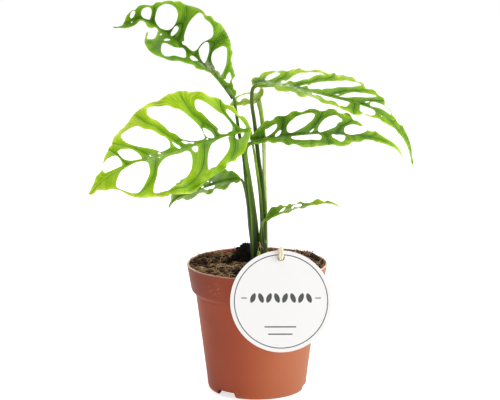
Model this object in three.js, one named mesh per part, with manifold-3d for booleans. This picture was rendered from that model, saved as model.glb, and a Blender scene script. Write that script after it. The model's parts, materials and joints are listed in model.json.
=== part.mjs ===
// A young potted monstera obliqua: seven leaves full of holes on two leafy stems in a
// terracotta plastic pot, with a round card tag tied to the stems.
// Millimetres, +Z up, -Y towards the viewer. The origin is the middle of the pot's underside.
import * as THREE from 'three';
import { mergeVertices } from 'three/addons/utils/BufferGeometryUtils.js';
import Module from 'manifold-3d';

const wasm = await Module();
wasm.setup();

// Driving dimensions of the pot.
const POT_HEIGHT = 110;
const RIM_RADIUS = 60;
const BAND_FOOT_RADIUS = 56.1;
const BAND_FOOT_Z = 87.6;
const SHOULDER_RADIUS = 52.2;
const SHOULDER_Z = 83;
const FOOT_RADIUS = 42.7;
const BASE_RADIUS = 40;
const WALL = 1.4;
const FLOOR_Z = 4.5;
const PAD_RADIUS = 17;
const NOTCH_ANGLES = [-130, -10, 110];
const NOTCH_WIDTH = 20;
const NOTCH_HEIGHT = 5;
const DRAIN_HOLES = 6;
const DRAIN_RADIUS = 4;
const DRAIN_CIRCLE = 28;

// Driving dimensions of the potting mix.
const SOIL_Z = 103.5;
const SOIL_ROUGHNESS = 1.4;
const HEAP = { x: -10.5, y: 30, z: 13, reach: 8 };

// Driving dimensions of the leaves and stems.
const BLADE_THICKNESS = 0.8;
const RIDGE_DEPTH = 0.7;
const RIDGE_WIDTH = 1.6;
const CLEARANCE = 0.3;
const STEM_SIDES = 7;
const BURIED_Z = 92;

// Driving dimensions of the tag and its string.
const TAG_RADIUS = 42;
const TAG_THICKNESS = 0.8;
const TAG_CENTRE = new THREE.Vector3(19.6, -64.7, 92.2);
const TAG_LEAN = 12;
const TAG_HOLE_RADIUS = 3.1;
const TAG_HOLE_UP = 36.4;
const STRING_RADIUS = 1.3;
const STRING_SPREAD = 1.4;
const KNOT_RADIUS = 3.9;

const degrees = THREE.MathUtils.degToRad;

// Repeatable random numbers for the potting mix.
const random = (() => {
  let state = 20;
  return () => {
    state = (state * 16807) % 2147483647;
    return state / 2147483647;
  };
})();

// A geometry as a solid that can be joined and cut.
function solidOf(geometry) {
  const plain = geometry.index ? geometry.toNonIndexed() : geometry.clone();
  plain.deleteAttribute('normal');
  plain.deleteAttribute('uv');
  const merged = mergeVertices(plain, 1e-3);
  const mesh = new wasm.Mesh({
    numProp: 3,
    vertProperties: new Float32Array(merged.attributes.position.array),
    triVerts: new Uint32Array(merged.index.array),
  });
  return new wasm.Manifold(mesh);
}

// A joined or cut solid as a geometry.
function geometryOf(solid) {
  const mesh = solid.getMesh();
  const geometry = new THREE.BufferGeometry();
  geometry.setAttribute('position', new THREE.BufferAttribute(mesh.vertProperties, 3));
  geometry.setIndex(new THREE.BufferAttribute(mesh.triVerts, 1));
  geometry.computeVertexNormals();
  return geometry;
}

function smoothCurve(points) {
  const curve = new THREE.CatmullRomCurve3(points.map((p) => new THREE.Vector3(...p)), false, 'centripetal');
  curve.arcLengthDivisions = 400;
  return curve;
}

// The value of a list of numbers that are evenly spaced from a leaf's base to its tip.
function along(list, fraction) {
  if (list.length === 1) {
    return list[0];
  }
  const place = THREE.MathUtils.clamp(fraction, 0, 1) * (list.length - 1);
  const first = Math.min(Math.floor(place), list.length - 2);
  const blend = THREE.MathUtils.smoothstep(place - first, 0, 1);
  return list[first] * (1 - blend) + list[first + 1] * blend;
}

// The leaves. Each blade is drawn flat and bent over its midrib. left and right hold
// [distance from the base, half width] pairs down the margins, left and right as seen from above
// by someone looking from base to tip. A hole is [distance from the base, distance to the left of
// the midrib, length, width, turn in degrees, swelling towards its far end].
// roll turns the whole blade about its midrib, and fold lifts each half, in degrees.
// curl bends each half further, in degrees per mm. wave ripples the margin.
const LEAVES = {
  leaf_upper_left: {
    colour: 0x5e9a22,
    spacing: 8.5,
    midrib: [[-20, 6, 250], [-37, 9, 271], [-57, 14, 288], [-72, 19, 301], [-86, 23, 310],
      [-98, 26, 316], [-109, 28, 312], [-123, 30, 308]],
    roll: [-60, -60, -58, -55, -50],
    foldLeft: [54, 50, 34, 30, 28],
    foldRight: [14],
    curlLeft: -0.5,
    curlRight: -0.4,
    wave: { height: 0.7, length: 24, halfWidth: 36 },
    left: [[0, 0], [5, 6], [14, 10], [26, 12], [38, 12], [48, 14], [56, 19], [66, 24], [76, 27],
      [84, 26.5], [90, 22], [90.5, 16], [88, 9], [91, 4.5], [97, 3], [103, 2.5], [108, 4],
      [114, 7], [122, 5], [128, 2], [132, 0]],
    right: [[0, 0], [4, 6], [12, 11], [22, 15], [28, 20], [35, 29], [42, 34], [52, 36], [64, 35.5],
      [73, 34], [82, 31], [90, 27], [97, 21.5], [102, 15.5], [107, 11], [114, 8], [121, 3.5],
      [127, 1.6], [132, 0]],
    holes: [[112.5, -5, 6, 3.4, 30, 0], [103, -7, 9.5, 5.5, -80, 0], [88, -13, 21, 16, -56, 0],
      [61.5, -19, 29, 20, -72, 0.3], [45, -9, 15, 6.5, -54, 0], [31, -12.6, 21, 11, -56, 0],
      [16, -6.5, 8.5, 3.6, -41, 0], [76.5, -6, 8, 3, -84, 0], [63, 11, 20, 10.5, 42, 0],
      [75.5, 7, 7, 2.4, 63, 0], [47.5, 4, 8, 3.6, 12, 0]],
  },
  leaf_big_left: {
    colour: 0x93c22f,
    spacing: 9,
    midrib: [[-6, -2, 225], [-44, -14, 218], [-76, -26, 210], [-104, -36, 202], [-126, -44, 192],
      [-140, -50, 179]],
    roll: [-62, -60, -57, -52, -45],
    foldLeft: [28, 28, 24, 10, 0],
    foldRight: [14, 14, 12, 8, 4],
    curlLeft: -0.6,
    curlRight: -0.3,
    wave: { height: 0.8, length: 34, halfWidth: 46 },
    left: [[0, 0], [2, 8], [7, 15], [14, 21], [22, 26], [30, 28], [38, 32], [48, 34], [58, 38],
      [69, 40], [80, 40], [92, 37], [103, 34], [114, 30], [124, 22], [132, 13], [142, 6], [152, 0]],
    right: [[0, 0], [3, 13], [9, 21], [18, 27], [31, 39], [43, 45], [54, 46.5], [65, 44.5],
      [77, 44], [90, 41], [102, 34], [113, 26], [122, 18], [130, 10], [138, 5], [146, 2], [152, 0]],
    holes: [[120, -7, 15, 8.5, 6, 0], [105, -9.5, 18, 8.5, -34, 0], [87, -17, 40, 16, -38, 0.15],
      [58.5, -23, 48, 18, -48, 0.15], [26, -17.5, 38, 11.5, -58, 0.1],
      [9.5, -11.5, 22, 4.5, -58, 0], [66.5, -3.6, 7, 3, -50, 0], [36.5, -5.2, 8, 3, -58, 0],
      [53, -3, 9, 2, -16, 0], [109, 12.5, 31, 21, 20, 0.1], [77, 20, 43, 23, 33, 0.15],
      [34, 15.5, 34, 14.5, 52, 0.1], [10, 5, 10, 4.5, 25, 0], [52, 6.5, 6.5, 4.5, 74, 0]],
  },
  leaf_middle_right: {
    colour: 0x4f9322,
    spacing: 9,
    midrib: [[-6, 4, 216], [4, 3, 217], [20, 1, 219], [44, -2, 222], [61, -5, 223], [78, -8, 222],
      [95, -10, 220], [109, -12, 215], [122, -14, 203]],
    roll: [22],
    foldLeft: [42, 26, 12, 12, 12],
    foldRight: [12],
    curlLeft: -0.4,
    curlRight: -0.4,
    wave: { height: 0.8, length: 22, halfWidth: 34 },
    left: [[0, 0], [1, 7], [6, 14], [14, 19], [24, 26], [34, 31], [46, 34], [59, 34], [68, 32.5],
      [78, 27], [85, 20], [92, 15], [99, 10], [108, 7], [120, 5.5], [130, 3], [135.5, 0]],
    right: [[0, 0], [5, 4], [12, 8], [20, 10], [26, 10], [33, 18], [41, 24], [50, 26], [60, 24],
      [69, 21], [78, 23], [86, 18], [91, 11], [99, 7], [107, 4], [120, 2], [129, 1.4], [135.5, 0]],
    holes: [[18, 9.5, 13, 6, 50, 0], [25.5, 4.5, 6.5, 2.8, 53, 0], [43, 18, 27, 15, 52, 0],
      [66, 13.5, 25, 12.5, 57, 0], [88, 7.6, 15, 9, 6, 0], [53, 5, 5, 2.2, 38, 0],
      [49, -10, 26, 12, -14, 0], [76, -10.5, 14, 8.5, -60, 0]],
  },
  leaf_upper_right: {
    colour: 0x6ea532,
    spacing: 8.5,
    midrib: [[-1, 14, 262], [15, 16, 261], [37, 20, 257], [64, 26, 249], [88, 31, 242],
      [106, 34, 234], [122, 37, 217], [136, 40, 186]],
    roll: [22, 28, 34, 34, 30],
    foldLeft: [14],
    foldRight: [8],
    curlLeft: -0.4,
    curlRight: -0.4,
    wave: { height: 0.9, length: 19, halfWidth: 28 },
    left: [[0, 0], [4, 6], [12, 13], [20, 16.5], [30, 20], [40, 24], [50, 26], [60, 28], [72, 28.5],
      [84, 27.5], [96, 23], [106, 20], [113, 16.5], [120, 12.5], [127, 7.5], [136, 5], [148, 4],
      [160, 2.4], [171, 0]],
    right: [[0, 0], [5, 5], [16, 9], [26, 11], [39, 14], [48, 12.5], [54, 11], [61, 13], [69, 14.5],
      [78, 16], [87, 16.5], [96, 15], [106, 12.5], [119, 9], [128, 5], [138, 3], [150, 2.4],
      [162, 1.6], [171, 0]],
    holes: [[15, 8.5, 14, 2.8, 36, 0], [43, 14, 37, 7, 28, 0], [69, 14, 49, 8, 20, 0],
      [94, 10.5, 31, 4.5, 18, 0], [111.5, 7, 17, 5, 13, 0], [70, -7, 23, 6.5, 3, 0],
      [100, -7, 15, 7.5, 6, 0]],
  },
  leaf_lower_left: {
    colour: 0x4a7f24,
    spacing: 8,
    midrib: [[-14, 9, 181], [-21, 15, 179], [-34, 26, 174], [-46, 37, 168], [-58, 47, 161],
      [-68, 54, 156], [-75, 58, 150], [-80, 60, 143]],
    roll: [-36],
    foldLeft: [20],
    foldRight: [10],
    curlLeft: -0.4,
    curlRight: -0.4,
    wave: { height: 1.2, length: 13, halfWidth: 22 },
    left: [[0, 0], [3, 6], [8, 11], [14, 14], [20, 16.5], [28, 13], [36, 10], [42, 14], [48, 15.5],
      [56, 12], [64, 9], [72, 6.5], [80, 4], [87, 2], [93.5, 0]],
    right: [[0, 0], [6, 4], [11, 8.5], [18, 13], [26, 17], [38, 20.5], [52, 22.5], [62, 21.5],
      [70, 16], [76, 9], [82, 4.5], [88, 2], [93.5, 0]],
    holes: [[29, 5, 12, 3.4, 4, 0], [27, -5, 3.4, 2, 0, 0], [34, -5, 3.4, 2, 0, 0],
      [46, -12, 18, 6, -35, 0], [61, -10, 12, 4.5, -30, 0], [48, 7.5, 8, 4, 30, 0]],
  },
  leaf_lower_right: {
    colour: 0x5c8f2a,
    spacing: 8,
    midrib: [[8, -4, 149], [18, -3, 153], [29, 0, 156], [43, 3, 160], [54, 5, 161], [64, 7, 161],
      [71, 8, 156]],
    roll: [10],
    foldLeft: [8],
    foldRight: [16],
    curlLeft: -0.3,
    curlRight: -0.3,
    wave: { height: 0.9, length: 14, halfWidth: 13 },
    left: [[0, 0], [3, 7], [9, 12.5], [15, 13.5], [22, 12], [30, 13.5], [38, 11], [46, 9], [54, 5.5],
      [61, 3], [65, 1.2], [67.5, 0]],
    right: [[0, 0], [3, 5], [9, 9], [15, 11.5], [22, 13], [30, 12.5], [38, 11], [46, 8], [54, 5],
      [61, 2.6], [65, 1.2], [67.5, 0]],
    holes: [[15, 6, 11, 3.4, 40, 0], [32, 6, 13, 4, 24, 0], [21, -6.5, 9, 3.4, -30, 0],
      [36, -5.5, 9, 3, -24, 0]],
  },
  leaf_back: {
    colour: 0x84ad4c,
    spacing: 8,
    midrib: [[1, 17, 248], [-5, 28, 245], [-10, 39, 243], [-15, 50, 240], [-18, 60, 237],
      [-21, 67, 233]],
    roll: [10],
    foldLeft: [8],
    foldRight: [84, 40, 18, 14, 14],
    curlLeft: -0.3,
    curlRight: -0.3,
    wave: { height: 1.1, length: 15, halfWidth: 16 },
    left: [[0, 0], [3, 6], [9, 11], [17, 13], [26, 13.5], [35, 11], [43, 7], [51, 3], [57, 0]],
    right: [[0, 0], [3, 6], [8, 10], [17, 15], [26, 16], [35, 12.5], [43, 8], [51, 3.5], [57, 0]],
    holes: [[17, -8, 14, 6, -40, 0], [31, -7, 12, 5, -34, 0], [16, 6.5, 9, 3.6, 38, 0],
      [30, 6, 9, 3.4, 34, 0]],
  },
};

// The stalks of each leafy stem, from the potting mix up to each leaf's base, with the radius at
// both ends.
const STEMS = {
  stem_left: {
    colour: 0x3f6420,
    stalks: [
      { radii: [2.1, 1.25], path: [[-2.8, 3, BURIED_Z], [-2.8, 3, 123.5], [-5.5, 4, 146],
        [-9.5, 6, 178], [-11.5, 7, 201.5], [-15, 7, 219.5], [-17.5, 6, 237.5], [-20, 6, 249.6]] },
      { radii: [1.7, 1.25], path: [[-1.6, 1.4, BURIED_Z], [-1.2, 1, 124], [0.6, 0.2, 141],
        [-0.5, 0, 153], [-3.5, 1, 167.5], [-6.5, 3, 184.5], [-8.5, 4, 198], [-8.6, 4, 208.5],
        [-6.4, 4, 215.6]] },
      { radii: [1.6, 1], path: [[-3.6, 4, BURIED_Z], [-4.4, 4, 123.5], [-6.5, 6, 141.5],
        [-8, 8, 158.5], [-10.5, 9, 173], [-12, 9, 178], [-13.7, 9, 180.8]] },
      { radii: [2.2, 0.9], path: [[-1.8, 2.6, BURIED_Z], [-1.7, 2.4, 124], [-2.5, 2.3, 141],
        [-3.7, 2.6, 153], [-5.7, 3, 167], [-7.6, 3.9, 178]] },
    ],
  },
  stem_right: {
    colour: 0x50752a,
    stalks: [
      { radii: [1.8, 1.3], path: [[4.7, 2.2, BURIED_Z], [4.5, 2, 124], [3.5, 1, 145],
        [1.5, -1, 175], [-1.5, -3, 197], [-3.5, -4, 212], [-5, -3.5, 221], [-6, -2.1, 224.8]] },
      { radii: [2.2, 1.5], path: [[5.6, 4, BURIED_Z], [6, 4, 123.5], [6.5, 6, 153],
        [4, 9.5, 180.5], [2, 11.5, 195], [0.2, 13, 210], [-2.3, 13.6, 231.5], [-4, 13.8, 245],
        [-4.4, 14, 254.5], [-3.4, 14, 260], [-1.2, 14, 262]] },
      { radii: [1.8, 1.35], path: [[6.8, 4.6, BURIED_Z], [7.5, 5, 123], [8, 7.5, 152.5],
        [7, 11.5, 180], [6.5, 13.6, 197], [5.5, 15.8, 218.5], [4, 16.8, 233], [2.5, 17, 242],
        [1.2, 16.8, 247.6]] },
      { radii: [1.4, 0.9], path: [[5, 1.6, BURIED_Z], [4.6, 0.8, 112], [4, 0, 124.5], [3, -1.5, 132],
        [3.5, -3, 141], [5.5, -4, 147], [7.7, -4, 148.9]] },
    ],
  },
  new_shoot: {
    colour: 0x8dbf2c,
    stalks: [{ radii: [2, 0.5], path: [[1.6, -3.6, BURIED_Z], [1.5, -3.8, 103], [1.8, -4, 109],
      [2.4, -4.2, 113.5]] }],
  },
};

// A closed tapering round bar along a path. grow makes the slightly fatter bar that cuts the room
// for it.
function stalkGeometry(path, radii, sides, steps, grow = 0) {
  const curve = smoothCurve(path);
  const frames = curve.computeFrenetFrames(steps, false);
  const geometry = new THREE.CylinderGeometry(1, 1, 1, sides, steps);
  const position = geometry.attributes.position;
  const point = new THREE.Vector3();
  for (let i = 0; i < position.count; i++) {
    point.fromBufferAttribute(position, i);
    const step = Math.round((point.y + 0.5) * steps);
    const fraction = step / steps;
    const radius = THREE.MathUtils.lerp(radii[0], radii[1], fraction) + grow;
    const across = point.x * radius;
    const deep = point.z * radius;
    point.copy(curve.getPointAt(fraction));
    point.addScaledVector(frames.normals[step], across);
    point.addScaledVector(frames.binormals[step], -deep);
    const overrun = step === 0 ? -grow : step === steps ? grow : 0;
    point.addScaledVector(frames.tangents[step], overrun);
    position.setXYZ(i, point.x, point.y, point.z);
  }
  return geometry;
}

function stemSolid(stalks, grow = 0) {
  return stalks
    .map(({ path, radii }) => {
      const steps = Math.round(smoothCurve(path).getLength() / 9) + 2;
      return solidOf(stalkGeometry(path, radii, STEM_SIDES, steps, grow));
    })
    .reduce((whole, stalk) => whole.add(stalk));
}

// A leaf's bent middle surface: the place and the normal of a flat point.
function bladeSurface(leaf) {
  const curve = smoothCurve(leaf.midrib);
  const length = curve.getLength();
  const place = (u, v) => {
    const fraction = THREE.MathUtils.clamp(u / length, 0, 1);
    const forward = curve.getTangentAt(fraction);
    const point = curve.getPointAt(fraction);
    point.addScaledVector(forward, u - fraction * length);
    const side = new THREE.Vector3(0, 0, 1).cross(forward).normalize();
    const up = new THREE.Vector3().crossVectors(forward, side);
    const roll = degrees(along(leaf.roll, fraction));
    const across = side.clone().multiplyScalar(Math.cos(roll)).addScaledVector(up, Math.sin(roll));
    const lift = up.multiplyScalar(Math.cos(roll)).addScaledVector(side, -Math.sin(roll));
    const width = Math.abs(v);
    const fold = degrees(along(v > 0 ? leaf.foldLeft : leaf.foldRight, fraction));
    const curl = degrees(v > 0 ? leaf.curlLeft : leaf.curlRight);
    const reach = (Math.sin(fold + curl * width) - Math.sin(fold)) / curl;
    const rise = (Math.cos(fold) - Math.cos(fold + curl * width)) / curl;
    const { height, length: span, halfWidth } = leaf.wave;
    const ripple = height * Math.sin((2 * Math.PI * u) / span) * (width / halfWidth) ** 2;
    point.addScaledVector(across, v > 0 ? reach : -reach);
    return point.addScaledVector(lift, rise + ripple);
  };
  const normal = (u, v) => {
    const alongU = place(u + 0.5, v).sub(place(u - 0.5, v));
    const alongV = place(u, v + 0.5).sub(place(u, v - 0.5));
    return alongU.cross(alongV).normalize();
  };
  return { length, place, normal };
}

// A margin as evenly spaced flat points from base to tip.
function marginPoints(pairs, side, step) {
  const curve = smoothCurve(pairs.map(([u, width]) => [u, side * width, 0]));
  return curve.getSpacedPoints(Math.round(curve.getLength() / step)).map((p) => new THREE.Vector2(p.x, p.y));
}

// A hole's edge: a rounded slot that may swell towards one end.
function holePoints([u, v, long, wide, turn, swelling]) {
  const count = THREE.MathUtils.clamp(Math.round((long + wide) / 3), 6, 18);
  const bulge = (value) => Math.sign(value) * Math.abs(value) ** 0.85;
  const points = [];
  for (let i = 0; i < count; i++) {
    const angle = (2 * Math.PI * i) / count;
    const x = bulge(Math.cos(angle));
    const y = bulge(Math.sin(angle)) * (1 + swelling * x);
    const point = new THREE.Vector2((x * long) / 2, (y * wide) / 2);
    point.rotateAround(new THREE.Vector2(), degrees(turn));
    points.push(point.add(new THREE.Vector2(u, v)));
  }
  return points;
}

// Twice the area of a flat triangle, above zero when it turns anticlockwise.
function turn(a, b, c) {
  return (b.x - a.x) * (c.y - a.y) - (b.y - a.y) * (c.x - a.x);
}

// Whether d lies inside the circle through the anticlockwise corners a, b and c.
function insideCircle(a, b, c, d) {
  const [ax, ay, bx, by, cx, cy] = [a.x - d.x, a.y - d.y, b.x - d.x, b.y - d.y, c.x - d.x, c.y - d.y];
  const [al, bl, cl] = [ax * ax + ay * ay, bx * bx + by * by, cx * cx + cy * cy];
  return ax * (by * cl - bl * cy) - ay * (bx * cl - bl * cx) + al * (bx * cy - by * cx) > 1e-6;
}

function insideRing(point, ring) {
  let inside = false;
  ring.forEach((a, i) => {
    const b = ring[(i + 1) % ring.length];
    if (a.y > point.y !== b.y > point.y && point.x < a.x + ((b.x - a.x) * (point.y - a.y)) / (b.y - a.y)) {
      inside = !inside;
    }
  });
  return inside;
}

function distanceToRing(point, ring) {
  const nearest = ring.map((a, i) => {
    const edge = ring[(i + 1) % ring.length].clone().sub(a);
    const toPoint = point.clone().sub(a);
    const part = THREE.MathUtils.clamp(toPoint.dot(edge) / edge.lengthSq(), 0, 1);
    return toPoint.addScaledVector(edge, -part).length();
  });
  return Math.min(...nearest);
}

// Flat points inside a leaf: rows on and beside its midrib, then a triangular pattern.
function innerPoints(length, rings, spacing) {
  const points = [];
  const jog = () => (random() - 0.5) * 0.02;
  const tryPoint = (u, v, room) => {
    const point = new THREE.Vector2(u + jog(), v + jog());
    if (insideRing(point, rings[0]) && rings.every((ring) => distanceToRing(point, ring) > room)) {
      points.push(point);
    }
  };
  for (let u = 3; u < length - 4; u += 6) {
    [0, -RIDGE_WIDTH, RIDGE_WIDTH].forEach((v) => tryPoint(u, v, v === 0 ? 0.7 : 1.2));
  }
  const rise = spacing * 0.866;
  for (let row = -8; row <= 8; row++) {
    for (let u = (row % 2) * spacing * 0.5; u < length; u += spacing) {
      if (row !== 0) {
        tryPoint(u, row * rise, spacing * 0.36);
      }
    }
  }
  return points.filter((p) => rings.slice(1).every((ring) => !insideRing(p, ring)));
}

// Triangles over a ring with holes in it and points inside it, none needlessly thin.
function trianglesOver(rings, inner) {
  const points = [...rings.flat(), ...inner];
  const triangles = THREE.ShapeUtils.triangulateShape(rings[0], rings.slice(1)).map(([a, b, c]) =>
    turn(points[a], points[b], points[c]) < 0 ? [a, c, b] : [a, b, c]);
  for (let p = points.length - inner.length; p < points.length; p++) {
    const at = triangles.findIndex(([a, b, c]) =>
      turn(points[a], points[b], points[p]) >= 0
      && turn(points[b], points[c], points[p]) >= 0
      && turn(points[c], points[a], points[p]) >= 0);
    const [a, b, c] = triangles[at];
    triangles.splice(at, 1, [a, b, p], [b, c, p], [c, a, p]);
  }
  const key = (a, b) => a * points.length + b;
  let changed = true;
  for (let pass = 0; changed && pass < 60; pass++) {
    changed = false;
    const owner = new Map();
    triangles.forEach(([a, b, c], t) => owner.set(key(a, b), t).set(key(b, c), t).set(key(c, a), t));
    const touched = new Set();
    triangles.forEach((triangle, t) => {
      for (let k = 0; k < 3 && !touched.has(t); k++) {
        const [a, b, c] = [triangle[k], triangle[(k + 1) % 3], triangle[(k + 2) % 3]];
        const other = owner.get(key(b, a));
        if (other === undefined || touched.has(other)) {
          continue;
        }
        const d = triangles[other].find((corner) => corner !== a && corner !== b);
        const convex = turn(points[c], points[a], points[d]) > 1e-9 && turn(points[d], points[b], points[c]) > 1e-9;
        if (convex && insideCircle(points[a], points[b], points[c], points[d])) {
          triangles[t] = [c, a, d];
          triangles[other] = [d, b, c];
          touched.add(t).add(other);
          changed = true;
        }
      }
    });
  }
  return { points, triangles };
}

// A leaf blade: a flat sheet with holes, of even thickness with a ridge under its midrib, bent to
// its shape.
function leafSolid(leaf) {
  const surface = bladeSurface(leaf);
  const left = marginPoints(leaf.left, 1, 4.5);
  const right = marginPoints(leaf.right, -1, 4.5);
  const outline = [...right, ...left.slice(1, -1).reverse()];
  const rings = [outline, ...leaf.holes.map((hole) => holePoints(hole).reverse())];
  const { points, triangles } = trianglesOver(rings, innerPoints(surface.length, rings, leaf.spacing));
  const count = points.length;
  const vertices = new Float32Array(count * 6);
  points.forEach(({ x: u, y: v }, i) => {
    const middle = surface.place(u, v);
    const normal = surface.normal(u, v);
    const ridge = RIDGE_DEPTH * (1 - u / surface.length) * Math.max(0, 1 - Math.abs(v) / RIDGE_WIDTH);
    const top = middle.clone().addScaledVector(normal, BLADE_THICKNESS / 2);
    const under = middle.addScaledVector(normal, -BLADE_THICKNESS / 2 - ridge);
    top.toArray(vertices, i * 3);
    under.toArray(vertices, (count + i) * 3);
  });
  const faces = [];
  triangles.forEach(([a, b, c]) => faces.push(a, b, c, count + a, count + c, count + b));
  let first = 0;
  rings.forEach((ring) => {
    ring.forEach((_, i) => {
      const a = first + i;
      const b = first + ((i + 1) % ring.length);
      faces.push(count + a, count + b, b, count + a, b, a);
    });
    first += ring.length;
  });
  const geometry = new THREE.BufferGeometry();
  geometry.setAttribute('position', new THREE.BufferAttribute(vertices, 3));
  geometry.setIndex(faces);
  return solidOf(geometry);
}

function latheSolid(profile, segments) {
  return solidOf(new THREE.LatheGeometry(profile.map(([r, z]) => new THREE.Vector2(r, z)), segments).rotateX(Math.PI / 2));
}

// The pot: a tapering wall with a wider rim band, a raised floor ring, a low middle pad, three
// notches in the foot and drain holes in the floor ring.
function potSolid() {
  const outside = [[0, 0], [PAD_RADIUS, 0], [PAD_RADIUS + 1.6, FLOOR_Z], [BASE_RADIUS - 2.4, FLOOR_Z],
    [BASE_RADIUS - 1.6, 0], [BASE_RADIUS, 0], [BASE_RADIUS + 1.7, 1.4], [FOOT_RADIUS - 0.3, 4.5],
    [FOOT_RADIUS, 8], [SHOULDER_RADIUS, SHOULDER_Z], [SHOULDER_RADIUS + 0.5, SHOULDER_Z + 1.2],
    [BAND_FOOT_RADIUS - 0.6, BAND_FOOT_Z - 0.7], [BAND_FOOT_RADIUS, BAND_FOOT_Z + 0.6],
    [RIM_RADIUS - 0.5, POT_HEIGHT - 2.6], [RIM_RADIUS, POT_HEIGHT - 1.6], [RIM_RADIUS - 0.3, POT_HEIGHT - 0.4],
    [RIM_RADIUS - 1, POT_HEIGHT]];
  const inside = [[RIM_RADIUS - 1.9, POT_HEIGHT - 0.3], [BAND_FOOT_RADIUS - WALL, BAND_FOOT_Z + 1],
    [SHOULDER_RADIUS - WALL, SHOULDER_Z], [FOOT_RADIUS - WALL, 9], [FOOT_RADIUS - WALL - 1.6, FLOOR_Z + WALL],
    [PAD_RADIUS + 0.6, FLOOR_Z + WALL], [PAD_RADIUS - 1, WALL], [0, WALL]];
  let pot = latheSolid([...outside, ...inside], 52);
  NOTCH_ANGLES.forEach((angle) => {
    const notch = new THREE.BoxGeometry(10, NOTCH_WIDTH, NOTCH_HEIGHT * 2);
    notch.translate(BASE_RADIUS + 2, 0, 0).rotateZ(degrees(angle));
    pot = pot.subtract(solidOf(notch));
  });
  for (let i = 0; i < DRAIN_HOLES; i++) {
    const drain = new THREE.CylinderGeometry(DRAIN_RADIUS, DRAIN_RADIUS, 10, 12);
    drain.rotateX(Math.PI / 2).translate(DRAIN_CIRCLE, 0, FLOOR_Z);
    drain.rotateZ(degrees(30 + (360 * i) / DRAIN_HOLES));
    pot = pot.subtract(solidOf(drain));
  }
  return pot;
}

// The potting mix: it fills the pot up to a rough top with a heap behind the stems.
function soilSolid(stemRoom) {
  const gap = CLEARANCE + WALL;
  const wallRadius = (z) => THREE.MathUtils.mapLinear(z, BAND_FOOT_Z, POT_HEIGHT, BAND_FOOT_RADIUS, RIM_RADIUS) - gap - 0.6;
  const edge = wallRadius(SOIL_Z);
  const rings = [0, 0.14, 0.28, 0.42, 0.56, 0.7, 0.83, 0.93, 1];
  const profile = [[0, WALL + CLEARANCE], [PAD_RADIUS - 2, WALL + CLEARANCE],
    [PAD_RADIUS + 0.4, FLOOR_Z + gap], [FOOT_RADIUS - gap - 2.4, FLOOR_Z + gap], [FOOT_RADIUS - gap - 0.4, 10],
    [SHOULDER_RADIUS - gap - 0.2, SHOULDER_Z + 0.4], [BAND_FOOT_RADIUS - gap - 0.4, BAND_FOOT_Z + 2],
    ...rings.map((part) => [edge * part, SOIL_Z]).reverse()];
  const geometry = new THREE.LatheGeometry(profile.map(([r, z]) => new THREE.Vector2(r, z)), 38);
  geometry.rotateX(Math.PI / 2);
  geometry.deleteAttribute('normal');
  geometry.deleteAttribute('uv');
  const merged = mergeVertices(geometry, 1e-3);
  const position = merged.attributes.position;
  for (let i = 0; i < position.count; i++) {
    const [x, y, z] = [position.getX(i), position.getY(i), position.getZ(i)];
    if (z > SOIL_Z - 0.1) {
      const part = Math.hypot(x, y) / edge;
      const heap = HEAP.z * Math.exp(-((x - HEAP.x) ** 2 + (y - HEAP.y) ** 2) / HEAP.reach ** 2);
      const bump = (random() - 0.5) * 2 * SOIL_ROUGHNESS * (part < 0.99 ? 1 : 0.3);
      const bank = 2 * Math.sin(Math.atan2(y, x) * 2 + 1) * part;
      position.setZ(i, z + heap * (1 - part ** 6) + bump + bank);
    }
  }
  return solidOf(merged).subtract(stemRoom);
}

// The tag: a round card with a hole near its top edge.
function tagGeometry() {
  const shape = new THREE.Shape();
  shape.absarc(0, 0, TAG_RADIUS, 0, Math.PI * 2);
  const hole = new THREE.Path();
  hole.absarc(0, TAG_HOLE_UP, TAG_HOLE_RADIUS, 0, Math.PI * 2, true);
  shape.holes.push(hole);
  const card = new THREE.ExtrudeGeometry(shape, { depth: TAG_THICKNESS, bevelEnabled: false, curveSegments: 30 });
  return card.translate(0, 0, -TAG_THICKNESS / 2);
}

// The card's frame: x across it, y up it, z out of its face.
function tagFrame() {
  return new THREE.Matrix4().makeRotationX(degrees(90 - TAG_LEAN)).setPosition(TAG_CENTRE);
}

// The string: both ends are knotted behind the card's hole, pass through it, run up the card's
// face and over its top edge, and make a loop round both stems.
function stringSolid() {
  const onTag = (x, y, z) => new THREE.Vector3(x, y, z).applyMatrix4(tagFrame()).toArray();
  const edge = TAG_RADIUS - TAG_HOLE_UP;
  const strand = (side) => [
    onTag(side * 0.6, TAG_HOLE_UP, -3.4),
    onTag(side * STRING_SPREAD, TAG_HOLE_UP, -0.4),
    onTag(side * STRING_SPREAD, TAG_HOLE_UP + 1.6, 1.9),
    onTag(side * STRING_SPREAD, TAG_HOLE_UP + edge * 0.7, 2.2),
    onTag(side * STRING_SPREAD, TAG_HOLE_UP + edge + 1.7, 0.9),
    onTag(side * STRING_SPREAD * 1.1, TAG_HOLE_UP + edge + 1.6, -2.6),
  ];
  const loop = [[16.6, -34, 124], [12.6, -12, 112], [11.3, 3.5, 109], [7.4, 9.6, 109.2],
    [0.5, 9.6, 109], [-5.4, 8.4, 108.6], [-7.9, 4, 108], [-6, -3.2, 107.8],
    [0.4, -9.6, 108.6], [8.6, -21, 113.4], [14.6, -38, 125]];
  const path = [...strand(1), ...loop, ...strand(-1).reverse()];
  const cord = solidOf(stalkGeometry(path, [STRING_RADIUS, STRING_RADIUS], 6, 64));
  const knot = new THREE.SphereGeometry(KNOT_RADIUS, 10, 6).scale(1, 0.9, 0.62);
  knot.translate(0, TAG_HOLE_UP, -KNOT_RADIUS * 0.62 - TAG_THICKNESS / 2 - CLEARANCE).applyMatrix4(tagFrame());
  return cord.add(solidOf(knot));
}

const group = new THREE.Group();

function addPiece(name, geometry, colour, roughness) {
  const material = new THREE.MeshStandardMaterial({ color: colour, roughness, metalness: 0 });
  const mesh = new THREE.Mesh(geometry, material);
  mesh.name = name;
  group.add(mesh);
  return mesh;
}

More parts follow.
